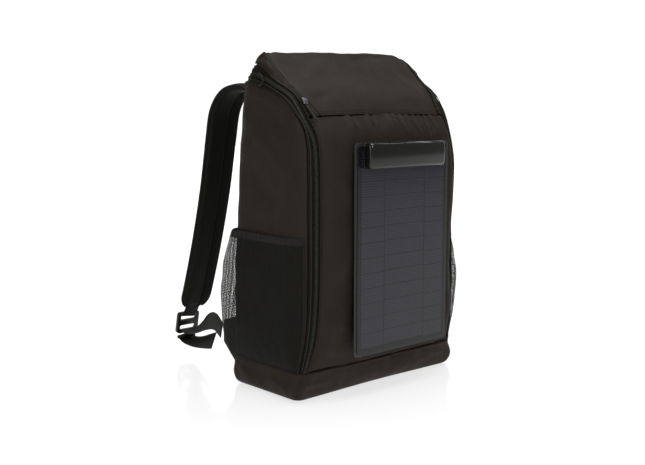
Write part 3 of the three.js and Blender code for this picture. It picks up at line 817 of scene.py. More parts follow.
def build_lid():
    grid = lid_rows()
    bulge = rumple(grid, 80, 3.0, 4.4) + rumple(grid, 26, 0.9, 1.0) + pillow(grid, 1.4, 5)
    grid = settled(pushed(grid, bulge + folds(grid, LID_FOLDS)))
    place(sheet("lid_cloth", grid, FABRIC_LID_PAINTED_LIT, PANEL_THICK), HOOD, "fabric", "lid")
    rim = np.concatenate([grid[:, 0], grid[-1, 1:-1], grid[::-1, -1]])
    place(tube("lid_piping", rim, 0.8, FABRIC_GUSSET, 6), HOOD, "fabric")
    place(tube("lid_seam_piping", grid[0], 0.9, FABRIC_LID_PAINTED_LIT, 6), HOOD, "fabric")
    place(stitches("lid_thread", grid[2] + np.array([0, -0.2, 0.2])), HOOD, "fabric")


def gore_angles(at):
    """Angles across the cloth between the main zip and the lid's zip."""
    return np.linspace(zip_front(at) + 1, LID_ZIP[0] - 0.5, 16)


def build_gores():
    left = np.array([corner(at, gore_angles(at)) for at in np.linspace(LID + 0.03, LAST, 70)])
    for name, flip in SIDES:
        crumpled = rumple(left, 18, 4.0, 6.0) + rumple(left, 9, 1.8, 2.0)
        grid = pushed(left, inner(left, 3) * crumpled - 0.4)
        gore = sheet(f"{name}_gore_cloth", seated(grid, flip), FABRIC_BODY, GORE_THICK)
        place(gore, FRONT, "fabric", f"{name}_gore")
    grid = np.array(crest_rows(gore_angles(LAST), 20, 50))
    grid = pushed(grid, inner(grid, 3) * rumple(grid, 20, 3.0, 3.0) - 0.4)
    gore = sheet("back_gore_cloth", settled(grid), FABRIC_BODY, GORE_THICK)
    place(gore, FRONT, "fabric", "back_gore")


def build_back():
    rows = []
    for at in rows_between(0, LAST):
        s = station(at)
        reach = s.side - s.rear_radius
        xs = np.linspace(-reach, reach, 70)
        rows.append(np.stack([xs, np.full(70, BACK_Y), np.full(70, s.side_z)], -1))
    grid = np.array(rows)
    grid = pushed(grid, rumple(grid, 60, 1.2, 1.0) + pillow(grid, 1.5, 6))
    obj = sheet("back_cloth", settled(grid), SPACER, 6.0)
    place(obj, BACK, "padding", "back_panel")


# The boot's underside: its front, its half width and the radius of its corners.
BOOT_LOW_Y = -70.0
BOOT_LOW_SIDE = 149.0
BOOT_LOW_CORNER = 9.0


def boot_outline(share):
    """Half of the boot's plan outline at a share of its height, from the middle of the front to the back."""
    top = station(0)

    def grown(low, high):
        return low + (high - low) * share

    y = grown(BOOT_LOW_Y, top.face_y)
    x = grown(BOOT_LOW_SIDE, top.side)
    front_x = grown(BOOT_LOW_CORNER, top.side - top.face)
    front_y = grown(BOOT_LOW_CORNER, top.side_y - top.face_y)
    rear_r = grown(BOOT_LOW_CORNER, top.rear_radius)
    a = np.radians(np.linspace(90, 0, 16))
    front = np.stack([-(x - front_x + front_x * np.cos(a)), y + front_y - front_y * np.sin(a)], -1)
    b = np.radians(np.linspace(0, 90, 12))
    back = np.stack([-(x - rear_r + rear_r * np.cos(b)), BACK_Y - rear_r + rear_r * np.sin(b)], -1)
    line = np.concatenate([[[0, y]], front, back, [[0, BACK_Y]]])
    flat = np.concatenate([line, np.zeros((len(line), 1))], axis=1)
    return resampled(flat, 220)[:, :2]


# The boot's height and how far it is set in there. It swells in the middle and turns under at the floor.
BOOT_PROFILE = (
    (0, 12), (0.4, 8), (1.8, 4), (4.2, 1.2), (7, -0.6), (10, -1.8), (13, -2.4), (16, -2.8), (19, -2.8),
    (22, -2.4), (25, -1.8), (28, -1.2), (31, -0.8), (34, -0.3), (37, 0), (38.6, 0.2), (39.6, 1.0),
    (41.2, 3.2),
)
BOOT_UPRIGHT = 6  # a row of the profile where its side is nearly upright
BOOT_MIDDLE = np.array([0, -8])
BOOT_FOLDS = (
    ((-130, -86, 35), (120, -86, 35), 2.2, -1.4),
    ((-147.5, -68.5, 3), (-145.5, -81.5, 38), 2.2, -3.6),
    ((-149, -66, 4), (-148, -72, 36), 2.2, 1.8),
    ((-151, -58, 6), (-150, -66, 34), 2.0, -1.6),
    ((-143, -78, 4), (-128, -87, 34), 2.2, 1.8),
    ((-144, -81, 25), (-90, -83, 17), 2.6, 2.4),
    ((-142, -79, 14), (-104, -80, 11), 2.2, -2.0),
    ((-152, -60, 12), (-150, -20, 26), 3, 1.4),
    ((-152, 10, 14), (-151, 50, 30), 4, 1.2),
    ((20, -82, 8), (110, -84, 24), 4, 1.8),
    ((60, -84, 34), (130, -80, 22), 3, 1.6),
)


def build_boot():
    rows = []
    for z, inset in BOOT_PROFILE:
        line = boot_outline(z / BOOT_TOP)
        whole = np.concatenate([line, (line * np.array([-1, 1]))[::-1][1:-1]])
        offset = whole - BOOT_MIDDLE
        reach = np.linalg.norm(offset, axis=1, keepdims=True)
        plan = BOOT_MIDDLE + offset * (1 - inset / reach)
        rows.append(np.concatenate([plan, np.full((len(whole), 1), z)], axis=1))
    grid = np.array(rows)
    bulge = (rumple(grid, 40, 2.4, 7.0) + rumple(grid, 16, 0.9, 3.0)) * smoothstep(grid[..., 2], 3, 12)
    bulge = bulge + folds(grid, BOOT_FOLDS)
    n = unit(np.cross(np.gradient(grid, axis=0), np.gradient(grid, axis=1)))
    row = grid[BOOT_UPRIGHT]
    if (n[BOOT_UPRIGHT] * (row - row.mean(0))).sum() < 0:
        n = -n
    grid = grid + n * bulge[..., None]
    grid[..., 2] = np.clip(grid[..., 2], 0, BOOT_PROFILE[-1][0])
    grid = settled(grid)
    around = grid.shape[1]
    faces = [list(f) for f in grid_faces(*grid.shape[:2], wrap_cols=True)]
    faces.append(list(range(around))[::-1])
    mesh = mesh_of("boot_cloth", grid, faces)
    set_uv(mesh, unrolled(grid))
    face_outward(mesh)
    obj = thickened(new_object("boot_cloth", mesh, FABRIC_BODY), PANEL_THICK)
    place(obj, BACK, "fabric", "base_boot")
    seam = np.concatenate([grid[-3], grid[-3, :1]])
    place(tube("boot_piping", seam, 0.8, FABRIC_BODY, 6), BACK, "fabric")


# ------------------------------------------------------------------ zips
def hoop_line(start, angle_at, lift=0.0):
    """One line of points along a hoop."""
    return hoop(start, lambda at: (angle_at(at) - 1, angle_at(at) + 1), 3, lift)[:, 1]


def strip_frame(start, angle_at, lift, step_mm):
    """Evenly spaced points along a hoop, with the directions across it, along it and out of it."""
    grid = settled(hoop(start, lambda at: (angle_at(at) - 4, angle_at(at) + 4), 3, lift))
    line = grid[:, 1]
    lengths = distances(line)
    count = int(lengths[-1] / step_mm)
    centre = resampled(line, count)
    want = np.linspace(0, lengths[-1], count)
    side = grid[:, 2] - grid[:, 0]
    across = np.stack([np.interp(want, lengths, side[:, k]) for k in range(3)], -1)
    along = unit(np.gradient(centre, axis=0))
    across = unit(across - (across * along).sum(1, keepdims=True) * along)
    up = np.cross(along, across)
    if (up * (centre - BAG_MIDDLE)).sum() < 0:
        up = -up
    return centre, across, along, up


def teeth(name, frame, side, material, reach=2.6, pitch_share=0.42):
    """One row of coil loops: short rounded bars across the zip's middle line."""
    pitch = np.linalg.norm(frame[0][1] - frame[0][0])
    half = pitch * pitch_share
    offset = 0 if side < 0 else pitch / 2
    section = [(-half, 0.0), (-half * 0.6, 0.75), (half * 0.6, 0.75), (half, 0.0)]
    verts = []
    faces = []
    for p, across, along, up in zip(*frame):
        faces += [[len(verts) + k for k in f] for f in grid_faces(4, 4)]
        for share, rise in ((-0.35, 0.2), (0.1, 0.75), (0.8, 0.75), (1.0, 0.0)):
            for s, h in section:
                spot = p + across * side * reach * share
                verts.append(spot + along * (s + offset) + up * (h * (0.4 + rise)))
    mesh = mesh_of(name, verts, faces)
    set_uv(mesh, np.array(verts)[:, :2] * MM)
    outward_normals(mesh)
    return new_object(name, mesh, material)


def between(share, low, high):
    """A function of the station: an angle that lies this share of the way between two others."""
    return lambda at: low(at) + (high(at) - low(at)) * share


def zip_strip(name, low, high, lift_at, material):
    """A strip of the main zip between two angles; lift_at raises it across its width."""
    grid = hoop(0, lambda at: (low(at), high(at)), 9)
    lift = np.array([lift_at(t) for t in np.linspace(0, 1, grid.shape[1])])
    bunched = smoothstep(grid[..., 1], -4, 20) * np.sin(np.linspace(0, math.pi, grid.shape[1]))[None, :]
    raised = lift[None, :] + rumple(grid, 16, 0.5, 9.0) + bunched * (2.4 + rumple(grid, 14, 1.6, 4.0))
    return baked(sheet(name, settled(pushed(grid, raised)), material, TAPE_THICK))


PIPED = 0.40  # where the piping lies between the seam and the coil
COIL_PITCH = 3.0
LID_COIL_PITCH = 1.7
TUCK = 6.0  # degrees that the gusset reaches in behind the top edge of the panels
LID_TAPE_TUCK = (0, -16, -14)  # how far the lid's zip tape reaches in below the lid's rear edge


def coil_low(at):
    return coil_angle(at) - 0.5


def coil_high(at):
    return coil_angle(at) + 0.5


def tucked(at):
    return zip_rear(at) - TUCK * smoothstep(at, 6.3, 7.2)


def build_main_zip():
    piping_at = between(PIPED, zip_rear, coil_low)
    frame = strip_frame(0, coil_angle, 0.3, COIL_PITCH)
    rear_parts = [
        zip_strip("gusset", tucked, piping_at, lambda t: -1.0 + 1.1 * math.sin(math.pi * t), FABRIC_GUSSET),
        zip_strip("rear_tape", piping_at, coil_low, lambda t: -0.7 + 0.5 * t, ZIP_TAPE),
        tube("rear_piping", settled(hoop_line(0, piping_at, 0.2)), 0.9, THREAD, 6),
        teeth("rear_coil", frame, -1, COIL, 2.4, 0.3),
    ]
    place(joined("main_zip_rear", rear_parts), BACK, "zip", "main_zip_rear_tape")
    front_parts = [
        zip_strip("front_tape", coil_high, zip_front, lambda t: -0.2 - 0.5 * t, ZIP_TAPE),
        tube("front_piping", settled(hoop_line(0, lambda at: zip_front(at) + 0.2, 0.2)), 0.9, FABRIC_BODY, 6),
        teeth("front_coil", frame, 1, COIL, 2.4, 0.3),
    ]
    place(joined("main_zip_front", front_parts), FRONT, "zip", "main_zip_front_tape")


def build_lid_zip():
    grid = hoop(LID + 0.05, lambda at: (LID_ZIP[0], 90.0), 9)
    crest_y = station(LAST).face_y
    behind = smoothstep(grid[:, -1, 1], crest_y - 1.0, crest_y + 1.5)
    grid[:, -1] += behind[:, None] * np.array(LID_TAPE_TUCK)
    grid = settled(pushed(grid, rumple(grid, 18, 0.4, 2.0) - 1.2))
    tape = baked(sheet("lid_tape", grid, ZIP_TAPE, TAPE_THICK))
    middle = sum(LID_ZIP) / 2 + 2
    frame = strip_frame(LID + 0.3, lambda at: middle, -0.8, LID_COIL_PITCH)
    coils = [teeth("lid_coil_a", frame, -1, COIL, 2.2), teeth("lid_coil_b", frame, 1, COIL, 2.2)]
    place(joined("lid_zip", [tape, *coils]), FRONT, "zip", "lid_zip_tape")


def build_zip_corner():
    """The fabric loop at the gathered end of the main zip, and the welts beside the lid's zip."""
    bend = [(9.2, 24, 1.0), (8.8, 22, 3.0), (8.62, 14, 3.4), (8.8, 5, 3.2), (9.2, 3, 1.0)]
    loop = smooth_line([corner(at, [angle], lift)[0] for at, angle, lift in bend], 6)
    place(tube("zip_end_loop", loop, 1.2, FABRIC_LID_PAINTED_LIT), BACK, "fabric")
    ats = np.linspace(6.78, 5.95, 12)
    outer = [corner(at, [a], 0.6)[0] for at, a in zip(ats, np.linspace(88, 76, 12))]
    nearer = [face(at, [share], 12.0)[0] for at, share in zip(ats, np.linspace(0.97, 0.945, 12))]
    welts = [tube("welt", line, 0.9, FABRIC_LID_PAINTED_LIT, 6) for line in (outer, nearer)]
    place(joined("lid_zip_welts", welts), FRONT, "fabric")


# ------------------------------------------------------------------ pockets
POCKET_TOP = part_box("left_pocket_hem")[1].z / MM
HEM = POCKET_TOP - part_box("left_pocket_hem")[0].z / MM
POCKET_SWELL = {
    "left": (0, 1.5, 3, 8, 13, 17, 19, 15, 0),
    "right": (0, 15, 24, 27, 24, 20, 19, 15, 0),
}  # at the points of a row, from front to rear
POCKET_EDGE = 5.0  # degrees between the pocket's front edge and the main zip


def at_height(z):
    """The station whose side rail is at this height."""
    ats = np.linspace(0, LAST, 400)
    zs = np.array([station(a).side_z for a in ats])
    return float(np.interp(z, zs, ats))


def pocket_row(z, swell):
    """A row round the left pocket at a height, from its front edge to the back."""
    at = at_height(z)
    s = station(at)
    up = (z - BOOT_TOP) / (POCKET_TOP - BOOT_TOP)
    fill = max(math.sin(math.pi * (0.02 + 0.955 * up)), 0) ** 0.8
    out = [2.4 + bulge * fill for bulge in swell]
    edge = s.zip_rear - POCKET_EDGE
    span = BACK_Y - s.rear_radius - s.side_y
    plan = [corner(at, [a], lift)[0][:2] for a, lift in zip((edge, edge / 2 + 1, 2), out)]
    plan += [(-(s.side + lift), s.side_y + span * share) for share, lift in zip((0.3, 0.6, 0.9), out[3:])]
    plan += [rear(at, [a], lift)[0][:2] for a, lift in zip((25, 50, 72), out[6:])]
    dense = smooth_line([(x, y, z) for x, y in plan], 8)
    return resampled(dense, 150)


POCKET_FOLDS = (
    ((-158, 25, 200), (-164, 45, 140), 5, 3.0),
    ((-156, -10, 198), (-160, 8, 120), 7, 1.8),
)
GATHER = 8.5  # from one gather to the next under the elastic hem


def gathers(grid, depth, fade):
    """Small upright folds that fade downwards from the top of a net."""
    u, _ = lengths_of(grid)
    drop = POCKET_TOP - HEM - grid[..., 2]
    turns = 2 * math.pi * (u + rumple(grid, 30, 6.0, 11.0)) / GATHER
    return depth * np.sin(turns) * np.exp(-drop / fade)


def pocket_rows(low, high, count, swell):
    return np.array([pocket_row(z, swell) for z in np.linspace(low, high, count)])


def net_rows(swell):
    grid = pocket_rows(BOOT_TOP + 0.6, POCKET_TOP - HEM + 1, 56, swell)
    loose = 1 - np.exp(-np.minimum(grid[..., 2] - BOOT_TOP, 25) / 8)
    wrinkles = loose * (rumple(grid, 45, 2.4, 2.0) + rumple(grid, 16, 0.8, 4.0))
    return pushed(grid, wrinkles + gathers(grid, 0.7, 16) + folds(grid, POCKET_FOLDS))


def hem_rows(swell):
    grid = pocket_rows(POCKET_TOP - HEM, POCKET_TOP, 9, swell)
    rise = np.sin(np.linspace(0, math.pi, 9))[:, None]
    return pushed(grid, 0.9 * rise + 0.4 * gathers(grid, 1.0, 1e6))


def build_pockets():
    for name, flip in SIDES:
        swell = POCKET_SWELL[name]
        grid = net_rows(swell)
        u, v = lengths_of(grid)
        grid = seated(grid, flip)
        hem = sheet(f"{name}_hem", seated(hem_rows(swell), flip), ELASTIC, 1.6)
        place(hem, BACK, "webbing", f"{name}_pocket_hem")
        net = sheet(f"{name}_net", grid, NET)
        place(net, BACK, "mesh", f"{name}_mesh_pocket")
        edges = [tube(f"{name}_net_edge", grid[:, column], 1.1, ELASTIC, 6) for column in (0, -1)]
        binding = place(joined(f"{name}_net_binding", edges), BACK, "webbing")


# ------------------------------------------------------------------ solar panel
def rounded_plate(name, low, high, radius_mm, material, edge_mm=0.4):
    """A flat plate in the XZ plane with round corners, between two corners."""
    (x0, y0, z0), (x1, y1, z1) = low, high
    r = radius_mm
    middles = ((x1 - r, z1 - r), (x0 + r, z1 - r), (x0 + r, z0 + r), (x1 - r, z0 + r))
    outline = []
    for quarter, (cx, cz) in enumerate(middles):
        for a in np.radians(np.linspace(0, 90, 7) + 90 * quarter):
            outline.append((cx + r * math.cos(a), cz + r * math.sin(a)))
    rings = [[(x, y, z) for x, z in outline] for y in (y1, y0)]
    return rounded(solid_rings(name, rings, material), edge_mm, 2)


CELL_ROWS = 13
CELL_COLUMNS = (0.0, 0.27, 0.755, 1.0)
CELL_STEP = (0.0, 0.9, -0.6)  # how far the rows of each column are shifted
CELL_GAP = 0.42  # half the gap between two cells
CELL_FRONT = 0.12  # how far the cells stand out
CELL_DEPTH = 0.14
PANEL_BORDER = 6.0


def box_mm(node):
    low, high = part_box(node)
    return np.array(low) / MM, np.array(high) / MM


def solar_cells(low, high):
    """All the cells of the laminate that lies between two corners, as boxes that are open behind."""
    x0, x1 = low[0] + PANEL_BORDER, high[0] - PANEL_BORDER
    z0, z1 = low[2] + PANEL_BORDER, high[2] - PANEL_BORDER
    front = low[1] - CELL_FRONT
    pitch = (z1 - z0) / CELL_ROWS
    verts = []
    faces = []
    for row in range(CELL_ROWS):
        for left, right, step in zip(CELL_COLUMNS, CELL_COLUMNS[1:], CELL_STEP):
            xa = x0 + (x1 - x0) * left + CELL_GAP
            xb = x0 + (x1 - x0) * right - CELL_GAP
            za = z0 + pitch * row + CELL_GAP + step
            zb = z0 + pitch * (row + 1) - CELL_GAP + step
            base = len(verts)
            for y in (front, front + CELL_DEPTH):
                verts += [(xa, y, za), (xb, y, za), (xb, y, zb), (xa, y, zb)]
            faces.append((base, base + 1, base + 2, base + 3))
            for k in range(4):
                j = (k + 1) % 4
                faces.append((base + k, base + 4 + k, base + 4 + j, base + j))
    mesh = mesh_of("solar_cells", verts, faces)
    mesh.shade_flat()
    set_uv(mesh, np.array(verts)[:, [0, 2]] * MM)
    outward_normals(mesh)
    return new_object("solar_cells", mesh, CELL)


def build_panel():
    board = rounded_plate("panel_backing", *box_mm("panel_board"), 6, BOARD)
    place(board, FRONT, "board", "panel_board")
    laminate = box_mm("cell_laminate")
    plate = rounded_plate("panel_laminate", *laminate, 4, CELL_LINE, 0.3)
    place(plate, FRONT, "cells", "cell_laminate")
    place(solar_cells(*laminate), FRONT, "cells")
    for side in ("left", "right"):
        copy_of(f"{side}_panel_tape", WEBBING, 0.4, 2)


# The controller's cover is rounded towards its ends: how far each section is from the end and set in.
COVER_ENDS = ((0.0, 4.6), (0.4, 2.8), (1.3, 1.3), (2.6, 0.45), (4.6, 0.0))
COVER_ROUND = 4.6  # radius along its long edges
COVER_SAG = 1.3  # how much the top and bottom of its front fall back from the middle
SLOT_GAP = np.array([0.4, 0.4, 4.0])  # how far the slot in the cover reaches past the socket
TONGUE_SIDE = 1.6  # between the socket's ends and the tongue in it
TONGUE_DEPTH = (1.2, 2.6)  # from the socket's front to the tongue's two faces
TONGUE_LOW = 1.0
TONGUE_SUNK = 1.2  # how far the tongue's top lies below the socket's


def cover_section(low, high, inset):
    """The cover's closed section in y and z: flat behind, convex in front, rounded above and below."""
    middle = (low[2] + high[2]) / 2
    half = (high[2] - low[2]) / 2 - inset
    r = max(COVER_ROUND - inset * 0.6, 1.5)
    points = [(high[1], middle - half), (high[1], middle + half)]
    for a in np.radians(np.linspace(90, 0, 8)):
        points.append((low[1] + inset + r - r * math.cos(a), middle + half - r + r * math.sin(a)))
    for t in np.linspace(1, -1, 15)[1:-1]:
        points.append((low[1] + inset, middle + t * (half - r)))
    for a in np.radians(np.linspace(0, 90, 8)):
        points.append((low[1] + inset + r - r * math.cos(a), middle - half + r - r * math.sin(a)))
    bent = [(y + (COVER_SAG * ((z - middle) / half) ** 2 if y < high[1] else 0), z) for y, z in points]
    return [(min(y, high[1]), z) for y, z in bent]


def build_controller():
    copy_of("controller_base", CASE, 0.5, 2)
    low, high = box_mm("controller_cover")
    rings = []
    for along, inset in COVER_ENDS:
        rings.append([(low[0] + along, y, z) for y, z in cover_section(low, high, inset)])
    for along, inset in reversed(COVER_ENDS):
        rings.append([(high[0] - along, y, z) for y, z in cover_section(low, high, inset)])
    cover = solid_rings("controller_case", rings, CASE)
    socket_low, socket_high = box_mm("output_socket")
    carve(cover, solid_box("slot_cutter", socket_low - SLOT_GAP, socket_high + SLOT_GAP))
    place(cover, FRONT, "plastic", "controller_cover")
    copy_of("output_socket", STEEL)
    tongue_low = socket_low + (TONGUE_SIDE, TONGUE_DEPTH[0], TONGUE_LOW)
    tongue_high = socket_high - (TONGUE_SIDE, 0, TONGUE_SUNK)
    tongue_high[1] = socket_low[1] + TONGUE_DEPTH[1]
    tongue = solid_box("socket_tongue", tongue_low, tongue_high)
    tongue.data.materials.append(PLASTIC)
    place(tongue, FRONT, "plastic")
    copy_of("controller_circuit", CIRCUIT, 0.2, 2)


def carve(obj, cutter):
    """Cuts one mesh out of another for good."""
    cut = obj.modifiers.new("cut", "BOOLEAN")
    cut.object = cutter
    cut.operation = "DIFFERENCE"
    cut.solver = "EXACT"
    baked(obj)
    bpy.data.objects.remove(cutter)


# ------------------------------------------------------------------ straps
PAD_PATH = [
    (-73, 77, 394), (-79, 104, 402), (-85, 132, 396), (-88, 154, 370), (-88, 166, 325), (-88, 182, 252),
    (-88, 205, 172), (-90, 228, 98), (-92, 238, 70),
]
PAD_WIDTH = 50.0
PAD_THICK = 11.0
PAD_LENGTH = 430.0
KNIT_PITCH = 5.2
PAD_SEAM = 0.22  # where cloth gives way to knitted padding, from -1 to 1 across the pad
PAD_COLUMNS = 41
WEB_PATH = [
    (-97, 246, 34), (-104, 226, 37), (-112, 194, 48), (-121, 160, 63), (-129, 130, 70), (-134, 107, 62),
]
TAIL_PATH = [(-99, 249, 22), (-104, 230, 21), (-111, 200, 25), (-120, 166, 33), (-126, 138, 40)]
FOLD_PATH = [TAIL_PATH[0], (-98.6, 253.5, 21.6), (-98.8, 253.2, 24.4), (-100.5, 247, 25.2), (-103, 238, 24.6)]
TAB_PATH = [(-92, 236, 76), (-93.5, 243, 62), (-95, 248.5, 54)]
HANDLE_LEFT = [(-34, 75, 396), (-32, 75, 378), (-18, 75, 364)]
HANDLE_MIDDLE = (0, 75, 360)
WEB_WIDTH = 25.0
WEB_THICK = 1.8


def swept(path, across_at, section_at, steps=10, rings=None):
    """Rings of a section swept along a smooth path. section_at gives (across, out) pairs for a share."""
    line = smooth_line(path, steps)
    line = resampled(line, rings or len(line))
    along = unit(np.gradient(line, axis=0))
    out = []
    for t, p, a in zip(np.linspace(0, 1, len(line)), line, along):
        side = np.array(across_at(t), float)
        side = unit(side - (side @ a) * a)
        normal = np.cross(a, side)
        out.append([p + side * u + normal * v for u, v in section_at(t)])
    return np.array(out)


def strap_section(share):
    """A padded strap's section: full faces, a groove at the seam, thin edges and a rounded lower end."""
    end = min(1.0, (1 - share) / 0.05)
    half = PAD_WIDTH / 2 * (0.35 + 0.65 * math.sqrt(max(1 - (1 - end) ** 2, 0)))
    thick = PAD_THICK / 2 * (0.45 + 0.55 * min(1.0, (1 - share) / 0.02))
    us = np.linspace(-1, 1, PAD_COLUMNS)
    groove = 0.22 * np.exp(-(((us - PAD_SEAM) / 0.05) ** 2))
    swell = (1 - np.abs(us) ** 5) * 0.7 + 0.25 - groove
    turns = 2 * math.pi / KNIT_PITCH
    bumps = 0.5 * (us > PAD_SEAM + 0.06) * np.sin(turns * PAD_LENGTH * share) * np.cos(turns * us * half)
    out = thick * swell + bumps
    return [*zip(half * us, out), *zip(half * us[::-1], -out[::-1])]


def web_section(width, thick):
    """Flat webbing with thinner edges."""
    w, t = width / 2, thick / 2
    half = [(-w, -t * 0.4), (-w + 0.8, -t), (w - 0.8, -t), (w, -t * 0.4)]
    return half + [(u, -v) for u, v in reversed(half)]


def webbing(name, path, across_at, flip=False, thick=WEB_THICK, steps=10):
    """A length of webbing along a path on the left, or its mirror image."""
    rings = swept(path, across_at, lambda t: web_section(WEB_WIDTH, thick), steps)
    return solid_rings(name, mirrored(rings) if flip else rings, WEBBING)


def knit_faces(pad):
    """Gives the part of a pad beyond its seam the knitted material."""
    around = 2 * PAD_COLUMNS
    seam = int((PAD_SEAM + 1) / 2 * (PAD_COLUMNS - 1)) + 1
    for k, polygon in enumerate(pad.data.polygons):
        column = k % around
        column = min(column, around - 2 - column)
        polygon.material_index = 1 if seam <= column else 0


YOKE_END = np.array([-0.077, 0.077, 0.395])  # where the left pad leaves the yoke, metres
YOKE_FREE = np.array([-0.080, 0.108, 0.402])  # and where it swings freely


def build_pad(name, flip):
    side = mirrored if flip else np.array
    rings = swept(PAD_PATH, lambda t: (1, 0, 0), strap_section, rings=260)
    pad = solid_rings(f"{name}_pad_body", side(rings), STRAP_CLOTH)
    pad.data.materials.append(SPACER)
    knit_faces(pad)
    last = 2 * PAD_COLUMNS - 1
    parts = [pad]
    for k in (0, PAD_COLUMNS - 1):
        line = (rings[::2, k] + rings[::2, last - k]) / 2
        parts.append(tube(f"{name}_bind_{k}", side(line), 2.2, STRAP_CLOTH))
    for column in (3, PAD_COLUMNS - 4, int((PAD_SEAM + 1) / 2 * PAD_COLUMNS) - 2):
        for row in (column, last - column):
            parts.append(stitches(f"{name}_stitch_{row}", side(rings[3:-4:2, row])))
    whole = joined(f"{name}_pad", parts)
    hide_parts(f"{name}_shoulder_pad")
    tuple(side(YOKE_END))
    tuple(side(YOKE_FREE))
    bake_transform(whole)


def build_webbing(name, flip):
    body = f"{name}_strap"
    web = webbing(f"{name}_web", WEB_PATH, lambda t: (1 - t, 0.1 * t, 1.6 * t), flip)
    place(web, body, "webbing", f"{name}_strap_webbing")
    tail = webbing(f"{name}_tail_body", TAIL_PATH, lambda t: (1 - 0.6 * t, 0, 0.1 + 0.7 * t), flip)
    end = webbing(f"{name}_tail_fold", FOLD_PATH, lambda t: (1, 0, 0.1), flip, steps=6)
    place(joined(f"{name}_tail", [tail, end]), body, "webbing", f"{name}_webbing_tail")
    tab = webbing(f"{name}_lock_tab", TAB_PATH, lambda t: (1, 0, 0), flip, thick=2.4, steps=6)
    place(tab, body, "webbing")


def build_straps():
    for name, flip in SIDES:
        build_pad(name, flip)
        build_webbing(name, flip)
        copy_of(f"{name}_ladder_lock", PLASTIC, 1.0, 3)
        copy_of(f"{name}_strap_wing", STRAP_CLOTH, 1.0, 2)
        back_pad = cushion(f"{name}_cushion", *box_mm(f"{name}_back_pad"))
        place(back_pad, BACK, "padding", f"{name}_back_pad")
    copy_of("strap_yoke", FABRIC_BODY, 0.8, 2)
    handle = [*HANDLE_LEFT, HANDLE_MIDDLE, *mirrored(np.array(HANDLE_LEFT)[::-1])]
    rings = swept(handle, lambda t: (0, 1, 0), lambda t: web_section(20, 4))
    place(solid_rings("carry_handle", rings, WEBBING), "haul_handle", "webbing", "haul_handle")


CUSHION_CORNER = 22  # radius of a cushion's corners


def cushion(name, low, high):
    """A soft pad on the wearer's side, domed towards +Y."""
    rows = []
    middle = (low + high) / 2
    x_half, depth, z_half = (high - low) / np.array([2, 1, 2])
    for v in np.linspace(-1, 1, 80):
        past = max(abs(v) * z_half - (z_half - CUSHION_CORNER), 0)
        reach = x_half - CUSHION_CORNER + math.sqrt(CUSHION_CORNER**2 - past**2)
        row = []
        for u in np.linspace(-1, 1, 40):
            edge = min((1 - abs(u)) * reach, (1 - abs(v)) * z_half)
            rise = 1 - math.exp(-edge / 5)
            row.append((middle[0] + u * reach, low[1] + depth * (0.25 + 0.75 * rise), middle[2] + v * z_half))
        rows.append(row)
    return sheet(name, np.array(rows), SPACER, 2.0)


# ------------------------------------------------------------------ inside, sliders
def build_inside():
    copy_of("base_board", BOARD, 0.4, 2)
    copy_of("laptop_sleeve", LINING, 1.5, 3)
    copy_of("lid_pocket_floor", LINING, 0.5, 2)


def build_sliders():
    for name in ("lid", "left_main", "right_main"):
        copy_of(f"{name}_slider", STEEL, 0.6, 3)
        copy_of(f"{name}_pull", WEBBING, 0.4, 3)


# ------------------------------------------------------------------ studio
CAMERA_AT = Vector((-0.9195, -0.9781, 0.3787))
CAMERA_TURN = 42.0  # degrees from +Y towards +X
CAMERA_DIP = 7.6
LENS_MM = 53.9
SENSOR_MM = 36.0


# Each light's name, its place, what it points at, its size and its power.
LIGHTS = (
    ("key", (-1.2, -2.2, 1.5), (0, 0, 0.2), (1.2, 1.2), 37),
    ("top", (0.1, -0.2, 2.2), (0, 0, 0.3), (1.5, 1.5), 30),
    ("left", (-2.4, 0.3, 1.0), (0, 0, 0.25), (0.8, 1.4), 7),
)


def area_light(name, at, target, size, power):
    light = bpy.data.lights.new(name, "AREA")
    light.shape = "RECTANGLE"
    light.size, light.size_y = size
    light.energy = power
    obj = bpy.data.objects.new(name, light)
    bpy.context.scene.collection.objects.link(obj)
    obj.location = at
    obj.rotation_euler = (Vector(target) - Vector(at)).to_track_quat("-Z", "Y").to_euler()


FLOOR_REACH = 6000  # from the bag to the edge of the floor behind it
FLOOR_FRONT = 2700  # and in front of it
FLOOR_DROP = 0.0006  # how far the floor lies below the bag, metres
FLOOR_GLOW = 0.66
ROOM = 0.26  # how bright the room is where it isn't the backdrop
BACKDROP = 1.08
BACKDROP_EDGE = (0.60, 0.90)  # cosines of the angles from straight ahead where it starts and is full


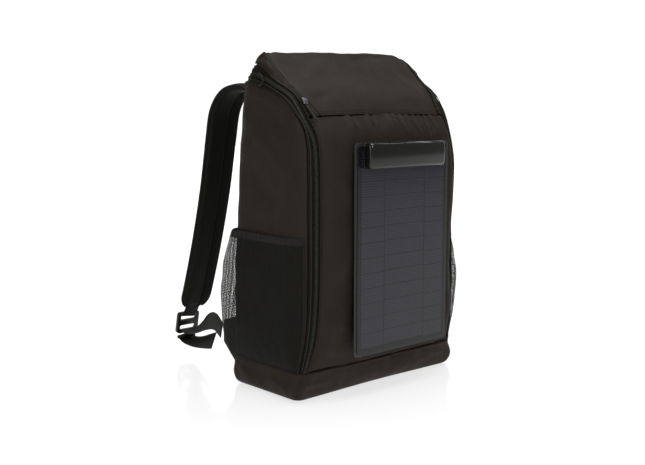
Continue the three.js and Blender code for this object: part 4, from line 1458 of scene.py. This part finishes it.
def build_world():
    """A white backdrop behind the bag, in a darker room."""
    world = bpy.data.worlds.new("studio")
    world.use_nodes = True
    tree = world.node_tree
    background = tree.nodes["Background"]
    turn = math.radians(CAMERA_TURN)
    coords = tree.nodes.new("ShaderNodeTexCoord")
    ahead = tree.nodes.new("ShaderNodeVectorMath")
    ahead.operation = "DOT_PRODUCT"
    ahead.inputs[1].default_value = (math.sin(turn), math.cos(turn), -0.1)
    bright = tree.nodes.new("ShaderNodeMapRange")
    bright.interpolation_type = "SMOOTHSTEP"
    bright.inputs["From Min"].default_value = BACKDROP_EDGE[0]
    bright.inputs["From Max"].default_value = BACKDROP_EDGE[1]
    bright.inputs["To Min"].default_value = ROOM
    bright.inputs["To Max"].default_value = BACKDROP
    tree.links.new(coords.outputs["Generated"], ahead.inputs[0])
    tree.links.new(ahead.outputs["Value"], bright.inputs["Value"])
    tree.links.new(bright.outputs[0], background.inputs["Strength"])
    background.inputs[0].default_value = (1, 1, 1, 1)
    bpy.context.scene.world = world


def build_floor():
    """A white floor that gives off some light of its own, so that it meets the backdrop unseen."""
    far, near = FLOOR_REACH, FLOOR_FRONT
    corners = [(-far, -near, 0), (far, -near, 0), (far, far, 0), (-far, far, 0)]
    mesh = mesh_of("floor", corners, [(0, 1, 2, 3)])
    n = Nodes("floor_white", "a8a8a8", 0.13, specular=0.35)
    n.tint(n.noise(0.5, 1), 0.98, 1.02)
    n.shader.inputs["Emission Color"].default_value = (1, 1, 1, 1)
    n.shader.inputs["Emission Strength"].default_value = FLOOR_GLOW
    floor = new_object("floor", mesh, n.material)
    floor.location.z = -FLOOR_DROP


def build_studio():
    scene = bpy.context.scene
    build_world()
    build_floor()
    for light in LIGHTS:
        area_light(*light)
    camera = bpy.data.cameras.new("camera")
    camera.sensor_width = SENSOR_MM
    camera.lens = LENS_MM
    camera.clip_end = 50
    obj = bpy.data.objects.new("camera", camera)
    scene.collection.objects.link(obj)
    turn = math.radians(CAMERA_TURN)
    dip = math.radians(CAMERA_DIP)
    ahead = Vector((math.sin(turn) * math.cos(dip), math.cos(turn) * math.cos(dip), -math.sin(dip)))
    obj.location = CAMERA_AT
    obj.rotation_euler = ahead.to_track_quat("-Z", "Y").to_euler()
    scene.camera = obj
    scene.view_settings.view_transform = "Standard"


build_boot()
build_side_panels()
build_back()
build_front()
build_lid()
build_gores()
build_main_zip()
build_lid_zip()
build_zip_corner()
build_pockets()
build_panel()
build_controller()
build_straps()
build_inside()
build_sliders()
build_studio()
